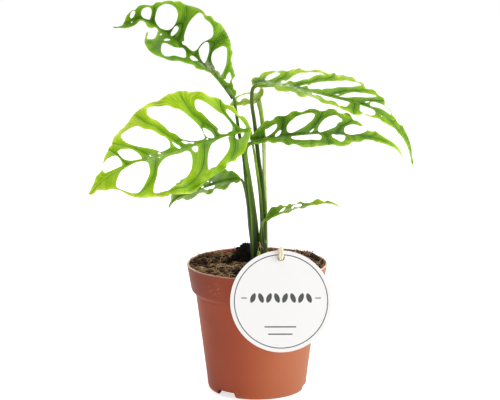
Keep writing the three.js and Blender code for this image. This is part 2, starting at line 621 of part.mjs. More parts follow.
const stemRoom = Object.values(STEMS)
  .map(({ stalks }) => stemSolid(stalks, CLEARANCE))
  .reduce((whole, stem) => whole.add(stem));

addPiece('pot', geometryOf(potSolid()), 0xb0623f, 0.42);
addPiece('soil', geometryOf(soilSolid(stemRoom)), 0x4a3323, 0.95);
Object.entries(STEMS).forEach(([name, { colour, stalks }]) => {
  addPiece(name, geometryOf(stemSolid(stalks)), colour, 0.45);
});
Object.entries(LEAVES).forEach(([name, leaf]) => {
  addPiece(name, geometryOf(leafSolid(leaf).subtract(stemRoom)), leaf.colour, 0.4);
});
const tag = addPiece('tag', tagGeometry(), 0xf4f3ef, 0.8);
tag.position.copy(TAG_CENTRE);
tag.rotation.x = degrees(90 - TAG_LEAN);
addPiece('tag_string', geometryOf(stringSolid()), 0xe6dcc0, 0.9);

export default group;
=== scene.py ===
"""A young potted monstera obliqua with a round card tag tied to its stems."""

import json
import logging
import math
from dataclasses import dataclass, field
from enum import Enum
from typing import Sequence

import bpy
import numpy as np
from mathutils.geometry import delaunay_2d_cdt
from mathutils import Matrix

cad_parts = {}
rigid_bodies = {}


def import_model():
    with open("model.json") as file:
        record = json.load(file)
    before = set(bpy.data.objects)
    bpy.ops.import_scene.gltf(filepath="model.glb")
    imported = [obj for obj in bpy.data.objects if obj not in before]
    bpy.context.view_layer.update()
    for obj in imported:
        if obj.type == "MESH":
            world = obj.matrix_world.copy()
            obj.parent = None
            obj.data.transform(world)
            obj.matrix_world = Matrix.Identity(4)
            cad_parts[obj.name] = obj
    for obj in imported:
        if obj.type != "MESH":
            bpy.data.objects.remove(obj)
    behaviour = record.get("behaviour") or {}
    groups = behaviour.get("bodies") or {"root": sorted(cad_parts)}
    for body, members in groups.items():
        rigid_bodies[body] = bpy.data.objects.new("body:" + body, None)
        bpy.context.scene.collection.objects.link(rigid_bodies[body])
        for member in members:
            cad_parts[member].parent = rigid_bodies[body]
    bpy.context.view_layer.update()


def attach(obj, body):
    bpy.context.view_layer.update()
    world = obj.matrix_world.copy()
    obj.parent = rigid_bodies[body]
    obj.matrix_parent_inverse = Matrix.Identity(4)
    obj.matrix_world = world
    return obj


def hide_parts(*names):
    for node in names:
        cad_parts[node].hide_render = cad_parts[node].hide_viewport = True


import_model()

LOG = logging.getLogger("monstera")
MM = 0.001
BODY = "root"

Colour = tuple[float, float, float]
Point = tuple[float, float, float]
Faces = list[tuple[int, ...]]
Shell = tuple[np.ndarray, Faces]
Socket = bpy.types.NodeSocket
Piece = bpy.types.Object


def linear(colour: Colour) -> tuple[float, float, float, float]:
    """Turns a colour in 0 to 255 screen values into the shader's linear values, with an opacity of one."""
    parts = [(c / 255) / 12.92 if c < 10 else ((c / 255 + 0.055) / 1.055) ** 2.4 for c in colour]
    return (parts[0], parts[1], parts[2], 1.0)


def smoothstep(low: float, high: float, value: np.ndarray) -> np.ndarray:
    """Eases numbers from 0 at low to 1 at high."""
    part = np.clip((value - low) / (high - low), 0, 1)
    return part * part * (3 - 2 * part)


# ---------------- materials


class Wiring:
    """Adds nodes to a node tree and wires them."""

    def __init__(self, tree: bpy.types.NodeTree) -> None:
        """Takes the tree."""
        self.tree = tree

    def feed(self, socket: Socket, value: object) -> None:
        """Sets a socket to a value, or links it to an amount or another socket.

        Args:
            socket: The input that is set.
            value: The value, amount or socket.
        """
        value = value.socket if isinstance(value, Amount) else value
        if isinstance(value, Socket):
            self.tree.links.new(value, socket)
        else:
            socket.default_value = value

    def add(self, kind: str, inputs: dict | None = None, **settings: object) -> bpy.types.Node:
        """Adds a node.

        Args:
            kind: The node's type name.
            inputs: Values, amounts or sockets for its inputs, by name or number.
            settings: Properties of the node itself.

        Returns:
            The new node.
        """
        node = self.tree.nodes.new(kind)
        for key, value in settings.items():
            setattr(node, key, value)
        for key, value in (inputs or {}).items():
            self.feed(node.inputs[key], value)
        return node


@dataclass(frozen=True)
class Amount:
    """A number that a node tree works out at each point."""

    wiring: Wiring
    socket: Socket

    def sum(self, operation: str, *others: object, clamp: bool = False) -> "Amount":
        """Does one sum, with this number first.

        Args:
            operation: The sum's name, such as MAXIMUM.
            others: Its other numbers or amounts.
            clamp: Whether the result is kept between 0 and 1.

        Returns:
            The result.
        """
        inputs = dict(enumerate((self, *others)))
        node = self.wiring.add("ShaderNodeMath", inputs, operation=operation, use_clamp=clamp)
        return Amount(self.wiring, node.outputs[0])

    def __add__(self, other: object) -> "Amount":
        """Adds a number or amount."""
        return self.sum("ADD", other)

    def __sub__(self, other: object) -> "Amount":
        """Takes a number or amount away."""
        return self.sum("SUBTRACT", other)

    def __mul__(self, other: object) -> "Amount":
        """Multiplies by a number or amount."""
        return self.sum("MULTIPLY", other)

    def clamped(self) -> "Amount":
        """Keeps the number between 0 and 1."""
        return self.sum("ADD", 0.0, clamp=True)

    def sway(self, strength: float) -> "Amount":
        """Turns a pattern around 0.5 into one around 0, that many times stronger."""
        return (self - 0.5) * strength

    def bell(self, sharp: float) -> "Amount":
        """Gives 1 where the number is 0, and ever less away from it."""
        return (self * self * -sharp).sum("EXPONENT")

    def span(self, low: float, high: float, least: float = 0.0, most: float = 1.0) -> "Amount":
        """Maps low to least and high to most, and stops there."""
        node = self.wiring.add("ShaderNodeMapRange", {0: self, 1: low, 2: high, 3: least, 4: most})
        return Amount(self.wiring, node.outputs[0])


class Bench(Wiring):
    """Makes one Principled material and wires its nodes."""

    def __init__(self, name: str) -> None:
        """Starts a material with its shader and output.

        Args:
            name: The material's name.
        """
        self.material = bpy.data.materials.new(name)
        self.material.use_nodes = True
        super().__init__(self.material.node_tree)
        self.shader = self.tree.nodes["Principled BSDF"]

    def mix(self, factor: object, first: object, second: object) -> Socket:
        """Mixes two colours, in screen values or as sockets, by how much of the second one shows."""
        first, second = (linear(c) if isinstance(c, tuple) else c for c in (first, second))
        return self.add("ShaderNodeMix", {0: factor, 6: first, 7: second}, data_type="RGBA").outputs[2]

    def ramp(self, factor: Amount, stops: Sequence[tuple[float, Colour]]) -> Socket:
        """Turns a number into a colour along a row of stops.

        Args:
            factor: The number.
            stops: Pairs of place and screen colour, in order.

        Returns:
            The colour's socket.
        """
        node = self.add("ShaderNodeValToRGB", {0: factor})
        elements = node.color_ramp.elements
        while len(elements) < len(stops):
            elements.new(0.5)
        for element, (place, colour) in zip(elements, stops):
            element.position = place
            element.color = linear(colour)
        return node.outputs[0]

    def noise(self, place: Socket, scale: float, detail: float = 3.0, rough: float = 0.55) -> Amount:
        """Makes a cloudy pattern around 0.5, with some finer layers and their strength."""
        values = {"Vector": place, "Scale": scale, "Detail": detail, "Roughness": rough}
        return Amount(self, self.add("ShaderNodeTexNoise", values).outputs[0])

    def stretch(self, place: Socket, scale: Point, turn: Point = (0, 0, 0),
                kind: str = "POINT") -> Socket:
        """Makes a pattern's coordinates finer along each axis and turns them. TEXTURE undoes both instead."""
        return self.add("ShaderNodeMapping", {"Vector": place, "Rotation": turn, "Scale": scale},
                        vector_type=kind).outputs[0]

    def objects(self) -> Socket:
        """Gives the coordinates in the object's own space."""
        return self.add("ShaderNodeTexCoord").outputs["Object"]

    def split(self, place: Socket) -> list[Amount]:
        """Takes coordinates apart."""
        return [Amount(self, part) for part in self.add("ShaderNodeSeparateXYZ", {0: place}).outputs]

    def place(self, *parts: object) -> Socket:
        """Makes coordinates from up to three amounts."""
        return self.add("ShaderNodeCombineXYZ", dict(enumerate(parts))).outputs[0]

    def marks(self, name: str) -> list[Amount]:
        """Reads the red, green, blue and alpha of a colour attribute of the mesh."""
        node = self.add("ShaderNodeAttribute", attribute_name=name)
        parts = self.add("ShaderNodeSeparateColor", {0: node.outputs["Color"]}).outputs
        return [Amount(self, socket) for socket in (*parts[:3], node.outputs["Alpha"])]

    def finish(self, colour: object, rough: object, shine: float, relief: tuple = (),
               **more: object) -> bpy.types.Material:
        """Sets the shader's inputs and its relief.

        Args:
            colour: The colour or its socket.
            rough: The roughness or its amount.
            shine: The strength of the mirror-like gloss.
            relief: The height, how strongly it shows, and its depth in metres.
            more: Other inputs, with underscores for the spaces in their names.

        Returns:
            The finished material.
        """
        inputs = {"Base Color": colour, "Roughness": rough, "Specular IOR Level": shine}
        for key, value in {**inputs, **{key.replace("_", " "): value for key, value in more.items()}}.items():
            self.feed(self.shader.inputs[key], value)
        if relief:
            bump = self.add("ShaderNodeBump", {"Height": relief[0], "Strength": relief[1],
                                               "Distance": relief[2]})
            self.feed(self.shader.inputs["Normal"], bump.outputs[0])
        return self.material


@dataclass(frozen=True)
class LeafFinish:
    """The look of one leaf blade, from its grooves' painted shade to its edge's painted highlight."""

    name: str
    dark: Colour
    middle: Colour
    light: Colour
    # The lightest colour, laid along margins and holes, is a painted highlight.
    edge: Colour
    under: Colour
    gloss: float = 0.42
    shine: float = 0.22
    fleck: Colour = (216, 222, 184)

    def make(self) -> bpy.types.Material:
        """Builds the material.

        Returns:
            The leaf's material, which reads the blade's own marks and flat map.
        """
        bench = Bench(self.name)
        tone, edge, pale, top = bench.marks("leaf_marks")
        gap, across, reach, _ = bench.marks("leaf_flow")
        flat = bench.add("ShaderNodeUVMap", uv_map="flat").outputs[0]
        along, aside, _ = bench.split(flat)
        clouds = bench.noise(flat, 7.0, 4.0, 0.6)
        grain = bench.noise(flat, 110.0, 3.0, 0.6)
        streaks = bench.noise(bench.place(across * 4.5, along * 3.0, aside * 3.0), 1.6, 3.0, 0.6)
        dabs = bench.noise(bench.place(along * 34.0, aside * 120.0), 1.0, 2.0, 0.5).span(0.44, 0.54)
        fine = ((bench.noise(flat, 14.0, 2.0) * 1.6 + across * 5.0) * math.tau).sum("SINE")
        # Painted shade: groove and shade darken the veins' grooves, and flank darkens the sides of the midrib.
        groove, shade = gap.bell(8.0) * reach, gap.bell(0.16) * reach
        middle = (aside - 0.5).sum("ABSOLUTE") * 100.0
        flank, rib = (middle - 1.15).bell(2.2), middle.bell(3.0)
        value = tone + clouds.sway(0.62) + streaks.sway(0.55) + fine * 0.07 + grain.sway(0.2)
        value = value - groove * 0.26 - shade * 0.2 - flank * 0.2 + rib * 0.1 + edge * 0.36
        stops = [(0.0, self.dark), (0.42, self.middle), (0.72, self.light), (1.0, self.edge)]
        face = bench.ramp(value.clamped(), stops)
        colour = bench.mix(top, bench.mix(0.62, face, self.under), face)
        colour = bench.mix(pale * (dabs * 0.85 + 0.1), colour, self.fleck)
        relief = grain * 0.7 + fine * 0.16 - groove * 1.2
        return bench.finish(colour, clouds.sway(0.34) + self.gloss, self.shine, (relief, 0.45, 0.0003),
                            Subsurface_Weight=0.12, Subsurface_Radius=(0.6, 1.0, 0.2), Subsurface_Scale=0.0015)


@dataclass(frozen=True)
class StalkFinish:
    """The look of leaf stalks: long faint streaks, darker towards the potting mix."""

    name: str
    dark: Colour
    middle: Colour
    light: Colour
    pale: Colour
    foot: Colour = (16, 34, 8)
    joint: Colour = (158, 186, 112)

    def make(self) -> bpy.types.Material:
        """Builds the material.

        Returns:
            The stalks' material, which reads each stalk's own tone.
        """
        bench = Bench(self.name)
        tone, low, joint, _ = bench.marks("stalk_marks")
        place = bench.objects()
        streaks = bench.noise(bench.stretch(place, (1100, 1100, 40)), 1.0, 3.0, 0.6)
        clouds = bench.noise(bench.stretch(place, (150, 150, 36)), 1.0, 2.0)
        value = (tone + streaks.sway(0.5) + clouds.sway(0.35) - low * 0.12).clamped()
        colour = bench.ramp(value, [(0.0, self.dark), (0.35, self.middle), (0.68, self.light), (1.0, self.pale)])
        colour = bench.mix(low * 0.4, colour, self.foot)
        colour = bench.mix(joint * 0.55, colour, self.joint)
        return bench.finish(colour, 0.4, 0.25, (streaks, 0.3, 0.0003),
                            Subsurface_Weight=0.08, Subsurface_Radius=(0.5, 1.0, 0.2), Subsurface_Scale=0.002)


@dataclass(frozen=True)
class PotFinish:
    """Terracotta-coloured plastic with faint clouding and pale scuffs on the band, and painted light: a lighter,
    more orange right side, painted shade on the left, under the band and inside the base, and a painted highlight
    along the rim's top.
    """

    name: str = "terracotta_plastic"
    deep: Colour = (139, 65, 50)
    warm: Colour = (173, 86, 58)
    # The next two colours are painted light: they make the pot lighter and more orange towards its right side,
    # where the key light falls.
    orange: Colour = (178, 82, 48)
    lit_side_colour: Colour = (163, 102, 73)
    scuff: Colour = (214, 146, 112)
    # The pale rim colour is a painted highlight along the rim's top.
    rim_highlight_colour: Colour = (232, 206, 188)
    shadow: Colour = (48, 16, 10)

    def make(self) -> bpy.types.Material:
        """Builds the material, whose places are in metres on the pot.

        Returns:
            The pot's material.
        """
        bench = Bench(self.name)
        place = bench.objects()
        across, deep, height = bench.split(place)
        side = across.sum("ABSOLUTE")
        clouds = bench.noise(place, 22.0, 3.0, 0.5)
        specks = bench.noise(place, 900.0, 2.0, 0.6)
        scratched = bench.stretch(place, (0.0014, 0.004, 0.025), (0.3, 0.9, 0.2), "TEXTURE")
        scratch = bench.noise(scratched, 1.0, 3.0, 0.7).span(0.52, 0.64)
        away = bench.add("ShaderNodeVectorMath", {0: place, 1: (-0.036, -0.045, 0.097)}, operation="DISTANCE")
        spot = Amount(bench, away.outputs["Value"]).span(0.009, 0.004)
        patches = bench.noise(place, 34.0, 2.0).span(0.52, 0.62)
        worn = scratch * patches.sum("MAXIMUM", spot) * (spot * 0.28 + 0.03)
        colour = bench.mix((clouds.sway(1.2) + 0.5).clamped(), self.deep, self.warm)
        # Painted light: lighter and more orange towards the right side.
        colour = bench.mix(across.span(-0.028, -0.006, 0.0, 0.6), colour, self.orange)
        colour = bench.mix(across.span(-0.022, 0.038), colour, self.lit_side_colour)
        # Painted shade: darker on the left side, more so on the band, under the band's ledge and inside the
        # hollow base.
        band = height.sum("GREATER_THAN", 0.082)
        shade_under_band = (height - 0.086).sum("ABSOLUTE").span(0.0032, 0.0022)
        below = (across * across + deep * deep).sum("LESS_THAN", 0.0406**2) * height.sum("LESS_THAN", 0.0062)
        shaded = across.span(0.0, -0.055) * (band * 0.25 + 0.2)
        shaded = shaded.sum("MAXIMUM", shade_under_band * 0.35).sum("MAXIMUM", below * 0.9)
        colour = bench.mix(shaded, colour, self.shadow)
        colour = bench.mix(worn, colour, self.scuff)
        # Painted highlight along the rim's top: patchy, and strongest at the pot's left and right sides.
        highlight_patches = bench.noise(place, 40.0, 4.0, 0.7).span(0.2, 0.45) * side.span(0.034, 0.052, 0.4, 1.0)
        colour = bench.mix(height.span(0.1088, 0.1096) * highlight_patches, colour, self.rim_highlight_colour)
        rough = worn * 0.3 + clouds * 0.14 + 0.42
        return bench.finish(colour, rough, 0.4, (specks, 0.18, 0.0001), IOR=1.2)


@dataclass(frozen=True)
class MixFinish:
    """Potting mix or its fibres: two dark browns that change from crumb to crumb, and near-black patches that are
    mostly painted shade.
    """

    name: str
    dark: Colour
    light: Colour
    share: float = 0.5
    scale: float = 320.0
    # Near-black: mostly painted shade, and on the heap partly its own dark peat.
    shade_and_peat_colour: Colour = (27, 25, 26)

    def make(self) -> bpy.types.Material:
        """Builds the material.

        Returns:
            The material, which reads how dark the mix is at each place.
        """
        bench = Bench(self.name)
        place = bench.objects()
        crumbs = bench.noise(place, self.scale, 3.0, 0.6)
        broad = bench.noise(place, 45.0, 2.0)
        value = (crumbs.sway(1.9) + self.share + broad.sway(1.6)).clamped()
        colour = bench.mix(value, self.dark, self.light)
        # Painted shade, mostly: the marked patches turn near-black.
        colour = bench.mix(bench.marks("mix_marks")[0], colour, self.shade_and_peat_colour)
        return bench.finish(colour, 0.95, 0.2, (crumbs, 0.6, 0.0006))


@dataclass(frozen=True)
class GrainFinish:
    """A plain colour with a fine grain of a second one: card, print or twine."""

    name: str
    base: Colour
    grain: Colour
    scale: float
    layers: tuple[float, float]
    share: tuple[float, float, float]
    rough: float
    shine: float
    relief: tuple[float, ...] = ()

    def make(self) -> bpy.types.Material:
        """Builds the material.

        Returns:
            The material.
        """
        bench = Bench(self.name)
        grain = bench.noise(bench.objects(), self.scale, *self.layers)
        low, high, most = self.share
        colour = bench.mix(grain.span(low, high, 0.0, most), self.base, self.grain)
        return bench.finish(colour, self.rough, self.shine, (grain, *self.relief) if self.relief else ())


CARD = GrainFinish("white_card", (235, 235, 235), (220, 219, 216), 1500.0, (3.0, 0.7), (0, 1, 0.06), 0.7, 0.3,
                   (0.12, 0.0001))
INK = GrainFinish("grey_print", (74, 76, 78), (120, 122, 124), 1800.0, (2.0, 0.6), (0, 1, 0.3), 0.75, 0.2)
TWINE = GrainFinish("cream_twine", (240, 230, 206), (214, 196, 160), 1600.0, (3.0, 0.7), (0.4, 0.75, 1), 0.9,
                    0.2, (0.5, 0.0002))


# ---------------- geometry


class SmoothPath:
    """A smooth curve through points, measured along its length in millimetres."""

    def __init__(self, points: Sequence[Point], fineness: int = 40) -> None:
        """Passes a centripetal curve through the points.

        Args:
            points: The points that the curve passes through.
            fineness: How many steps each stretch gets.
        """
        knots = np.array(points, float)
        knots = np.vstack([2 * knots[0] - knots[1], knots, 2 * knots[-1] - knots[-2]])
        stretches = []
        for a, b, c, d in zip(knots, knots[1:], knots[2:], knots[3:]):
            before, here, after = (max(np.linalg.norm(q - p) ** 0.5, 1e-4) for p, q in ((a, b), (b, c), (c, d)))
            leave = ((b - a) / before - (c - a) / (before + here) + (c - b) / here) * here
            arrive = ((c - b) / here - (d - b) / (here + after) + (d - c) / after) * here
            t = np.linspace(0, 1, fineness, endpoint=False)[:, None]
            stretches.append(b + leave * t + (-3 * b + 3 * c - 2 * leave - arrive) * t**2
                             + (2 * b - 2 * c + leave + arrive) * t**3)
        self.points = np.vstack([*stretches, knots[-2][None]])
        self.distance = np.concatenate([[0], np.cumsum(np.linalg.norm(np.diff(self.points, axis=0), axis=1))])
        self.length = float(self.distance[-1])
        slope = np.gradient(self.points, self.distance, axis=0)
        self.forward = slope / np.linalg.norm(slope, axis=1)[:, None]

    def read(self, table: np.ndarray, distance: np.ndarray) -> np.ndarray:
        """Reads a table that has one row for each of the curve's points."""
        return np.stack([np.interp(distance, self.distance, column) for column in table.T], -1)

    def at(self, distance: np.ndarray) -> np.ndarray:
        """Gives the points at some distances along the curve."""
        return self.read(self.points, distance)

    def heading(self, distance: np.ndarray) -> np.ndarray:
        """Gives the unit directions at some distances along the curve."""
        found = self.read(self.forward, distance)
        return found / np.linalg.norm(found, axis=-1)[..., None]

    def spaced(self, step: float) -> np.ndarray:
        """Gives evenly spaced points, about one step apart, with both ends."""
        return self.at(np.linspace(0, self.length, max(int(round(self.length / step)), 3) + 1))


def smooth_ring(outline: Sequence[float], step: float) -> np.ndarray:
    """Draws a smooth closed ring through flat points.

    Args:
        outline: The points' two numbers in turn, in tenths of a millimetre.
        step: The spacing of the ring's own points.

    Returns:
        The ring's points.
    """
    fineness = 24
    knots = np.array(outline, float).reshape(-1, 2) / 10
    knots = np.vstack([knots[-2:], knots, knots[:3]])
    line = SmoothPath(np.column_stack([knots, np.zeros(len(knots))]), fineness).points
    line = line[2 * fineness:-2 * fineness, :2]
    walked = np.concatenate([[0], np.cumsum(np.linalg.norm(np.diff(line, axis=0), axis=1))])
    at = np.linspace(0, walked[-1], max(int(walked[-1] / step), 8), endpoint=False)
    return np.stack([np.interp(at, walked, line[:, k]) for k in (0, 1)], -1)


def ring_distance(points: np.ndarray, ring: np.ndarray) -> np.ndarray:
    """Measures how far flat points lie from a closed ring.

    Args:
        points: The flat points.
        ring: The ring's corners in order.

    Returns:
        One distance for each point.
    """
    edge = np.roll(ring, -1, axis=0) - ring
    away = points[:, None] - ring[None]
    part = np.clip((away * edge).sum(-1) / np.maximum((edge**2).sum(-1), 1e-9), 0, 1)
    return np.linalg.norm(away - part[..., None] * edge, axis=-1).min(axis=1)


def inside_ring(points: np.ndarray, ring: np.ndarray) -> np.ndarray:
    """Tells which flat points lie inside a closed ring.

    Args:
        points: The flat points.
        ring: The ring's corners in order.

    Returns:
        True or false for each point.
    """
    x, y = points[:, :1], points[:, 1:]
    ax, ay = ring[:, 0], ring[:, 1]
    bx, by = np.roll(ax, -1), np.roll(ay, -1)
    rise = np.where(by == ay, 1e-12, by - ay)
    crosses = ((ay > y) != (by > y)) & (x < ax + (bx - ax) * (y - ay) / rise)
    return crosses.sum(axis=1) % 2 == 1


def loop_edges(first: int, count: int) -> list[tuple[int, int]]:
    """Joins corners numbered on from the first in a closed loop."""
    return [(first + k, first + (k + 1) % count) for k in range(count)]


def filled(rings: Sequence[np.ndarray], inner: np.ndarray) -> tuple[np.ndarray, np.ndarray]:
    """Fills a closed ring, less the holes in it, with triangles.

    Args:
        rings: The ring, then its holes.
        inner: More points, which lie between them.

    Returns:
        The flat points, rings first, and the triangles, anticlockwise.
    """
    edges, first = [], 0
    for ring in rings:
        edges += loop_edges(first, len(ring))
        first += len(ring)
    made, _, faces, *_ = delaunay_2d_cdt([tuple(p) for p in np.vstack([*rings, inner])], edges, [], 0, 1e-6)
    flat, corners = np.array([tuple(p) for p in made]), np.array([tuple(f) for f in faces])
    middles = flat[corners].mean(axis=1)
    wanted = inside_ring(middles, rings[0])
    for ring in rings[1:]:
        wanted &= ~inside_ring(middles, ring)
    corners = corners[wanted]
    a, b, c = (flat[corners[:, k]] for k in range(3))
    area = (b[:, 0] - a[:, 0]) * (c[:, 1] - a[:, 1]) - (b[:, 1] - a[:, 1]) * (c[:, 0] - a[:, 0])
    corners[area < 0] = corners[area < 0][:, ::-1]
    return flat, corners


def circle(sides: int) -> np.ndarray:
    """Lists a flat circle's points, one unit from its middle."""
    angle = np.linspace(0, math.tau, sides, endpoint=False)
    return np.stack([np.cos(angle), np.sin(angle)], -1)


def band(lower: int, upper: int, sides: int) -> Faces:
    """Joins two loops of corners with four-sided faces, given the number of each loop's first corner."""
    return [(a, b, b + upper - lower, a + upper - lower) for a, b in loop_edges(lower, sides)]


def layers(outline: np.ndarray, levels: Sequence[float]) -> np.ndarray:
    """Repeats a flat outline at several levels."""
    return np.vstack([np.column_stack([outline, np.full(len(outline), level)]) for level in levels])


def plain_object(name: str, shell: Shell) -> Piece:
    """Makes an object and puts it in the scene.

    Args:
        name: The object's name.
        shell: The corners in millimetres and the faces.

    Returns:
        The new object.
    """
    mesh = bpy.data.meshes.new(name)
    mesh.from_pydata((np.asarray(shell[0]) * MM).tolist(), [], [list(map(int, face)) for face in shell[1]])
    piece = bpy.data.objects.new(name, mesh)
    bpy.context.scene.collection.objects.link(piece)
    return piece


def mesh_piece(name: str, shell: Shell, finish: LeafFinish | StalkFinish | PotFinish | MixFinish | GrainFinish,
               sharp: float = 50.0) -> Piece:
    """Makes a shown object.

    Args:
        name: The object's name.
        shell: The corners in millimetres and the faces, anticlockwise from outside.
        finish: The finish.
        sharp: The angle in degrees past which an edge stays crisp.

    Returns:
        The new object, which rides on the body.
    """
    piece = plain_object(name, shell)
    piece.data.materials.append(finish.make())
    piece.data.shade_smooth()
    piece.data.set_sharp_from_angle(angle=math.radians(sharp))
    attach(piece, BODY)
    return piece


def baked_mesh(piece: Piece) -> bpy.types.Mesh:
    """Makes a plain mesh of a piece as its modifiers leave it."""
    return bpy.data.meshes.new_from_object(piece.evaluated_get(bpy.context.evaluated_depsgraph_get()))


def set_marks(piece: Piece, name: str, marks: np.ndarray) -> None:
    """Stores four numbers at each corner of a piece as a colour attribute."""
    layer = piece.data.color_attributes.new(name, "FLOAT_COLOR", "POINT")
    layer.data.foreach_set("color", np.asarray(marks, np.float32).ravel())


def carried_frames(ahead: np.ndarray) -> tuple[np.ndarray, np.ndarray]:
    """Carries a sideways direction along a line without twisting it.

    Args:
        ahead: The line's unit directions.

    Returns:
        The sideways directions, and the ones square to both.
    """
    across, carried = np.cross(ahead[0], [0.0, 1.0, 0.2]), []
    for direction in ahead:
        across = across - direction * across.dot(direction)
        across = across / np.linalg.norm(across)
        carried.append(across)
    return np.array(carried), np.cross(ahead, carried)


def bar(points: np.ndarray, radius: np.ndarray, sides: int, outline: np.ndarray | float = 1.0) -> Shell:
    """Sweeps a closed bar along points.

    Args:
        points: The middle line, in millimetres.
        radius: The radius at each point.
        sides: How many sides the bar has.
        outline: How far each side stands from the middle, times the radius.

    Returns:
        The corners and the faces, ends included.
    """
    ahead = np.gradient(points, axis=0)
    ahead /= np.linalg.norm(ahead, axis=1)[:, None]
    across, deep = carried_frames(ahead)
    round_x, round_y = (circle(sides) * np.reshape(outline, (-1, 1))).T[..., None]
    rings = points[:, None] + radius[:, None, None] * (round_x * across[:, None] + round_y * deep[:, None])
    bulge = 0.3
    ends = [points[0] - ahead[0] * radius[0] * bulge, points[-1] + ahead[-1] * radius[-1] * bulge]
    count = len(points) * sides
    faces = [face for i in range(len(points) - 1) for face in band(i * sides, (i + 1) * sides, sides)]
    for (a, b), (c, d) in zip(loop_edges(0, sides), loop_edges(count - sides, sides)):
        faces += [(count, b, a), (count + 1, c, d)]
    return np.vstack([rings.reshape(-1, 3), ends]), faces


def joined(shells: Sequence[Shell]) -> Shell:
    """Puts several shells into one.

    Args:
        shells: Each shell's corners and faces.

    Returns:
        All the corners and faces.
    """
    faces, first = [], 0
    for corners, polygons in shells:
        faces.extend(tuple(corner + first for corner in polygon) for polygon in polygons)
        first += len(corners)
    return np.vstack([corners for corners, _ in shells]), faces


def turned_profile(profile: Sequence[tuple[float, float]], segments: int, wobble: float = 0.0) -> Shell:
    """Turns a closed or axis-to-axis profile about the upright axis.

    Args:
        profile: Radius and height pairs, with the material on the left of the path.
        segments: How many segments the round has.
        wobble: How far the round departs from a true one at a height of 110 mm, in millimetres.

    Returns:
        The corners and the faces.
    """
    corners, faces, columns = [], [], []
    for radius, height in profile:
        if radius < 1e-6:
            columns.append([len(corners)] * segments)
            corners.append((0.0, 0.0, height))
            continue
        columns.append(list(range(len(corners), len(corners) + segments)))
        for k in range(segments):
            angle = math.tau * k / segments
            size = radius + wobble * math.sin(2 * angle + 0.6) * height / 110
            corners.append((size * math.cos(angle), size * math.sin(angle), height))
    for lower, upper in zip(columns, columns[1:]):
        for a, b in loop_edges(0, segments):
            faces.append(tuple(dict.fromkeys((lower[a], lower[b], upper[b], upper[a]))))
    return np.array(corners), faces


def rounded(profile: Sequence[tuple[float, float]], radius: float, steps: int) -> list[tuple[float, float]]:
    """Rounds the inner corners of a profile.

    Args:
        profile: The profile's corners.
        radius: The largest radius of a corner.
        steps: How many steps each round gets.

    Returns:
        The profile with its corners rounded and its ends kept.
    """
    points = [np.array(p, float) for p in profile]
    made = [tuple(points[0])]
    for before, here, after in zip(points, points[1:], points[2:]):
        back, on = before - here, after - here
        reach = min(radius, 0.45 * np.linalg.norm(back), 0.45 * np.linalg.norm(on))
        start, end = here + back / np.linalg.norm(back) * reach, here + on / np.linalg.norm(on) * reach
        for t in np.linspace(0, 1, steps + 1):
            made.append(tuple((1 - t) ** 2 * start + 2 * t * (1 - t) * here + t**2 * end))
    made.append(tuple(points[-1]))
    return made


# ---------------- leaves


@dataclass(frozen=True)
class Wave:
    """The ripple that grows from a blade's midrib to its margins, in millimetres."""

    height: float
    span: float
    half: float
    phase: float


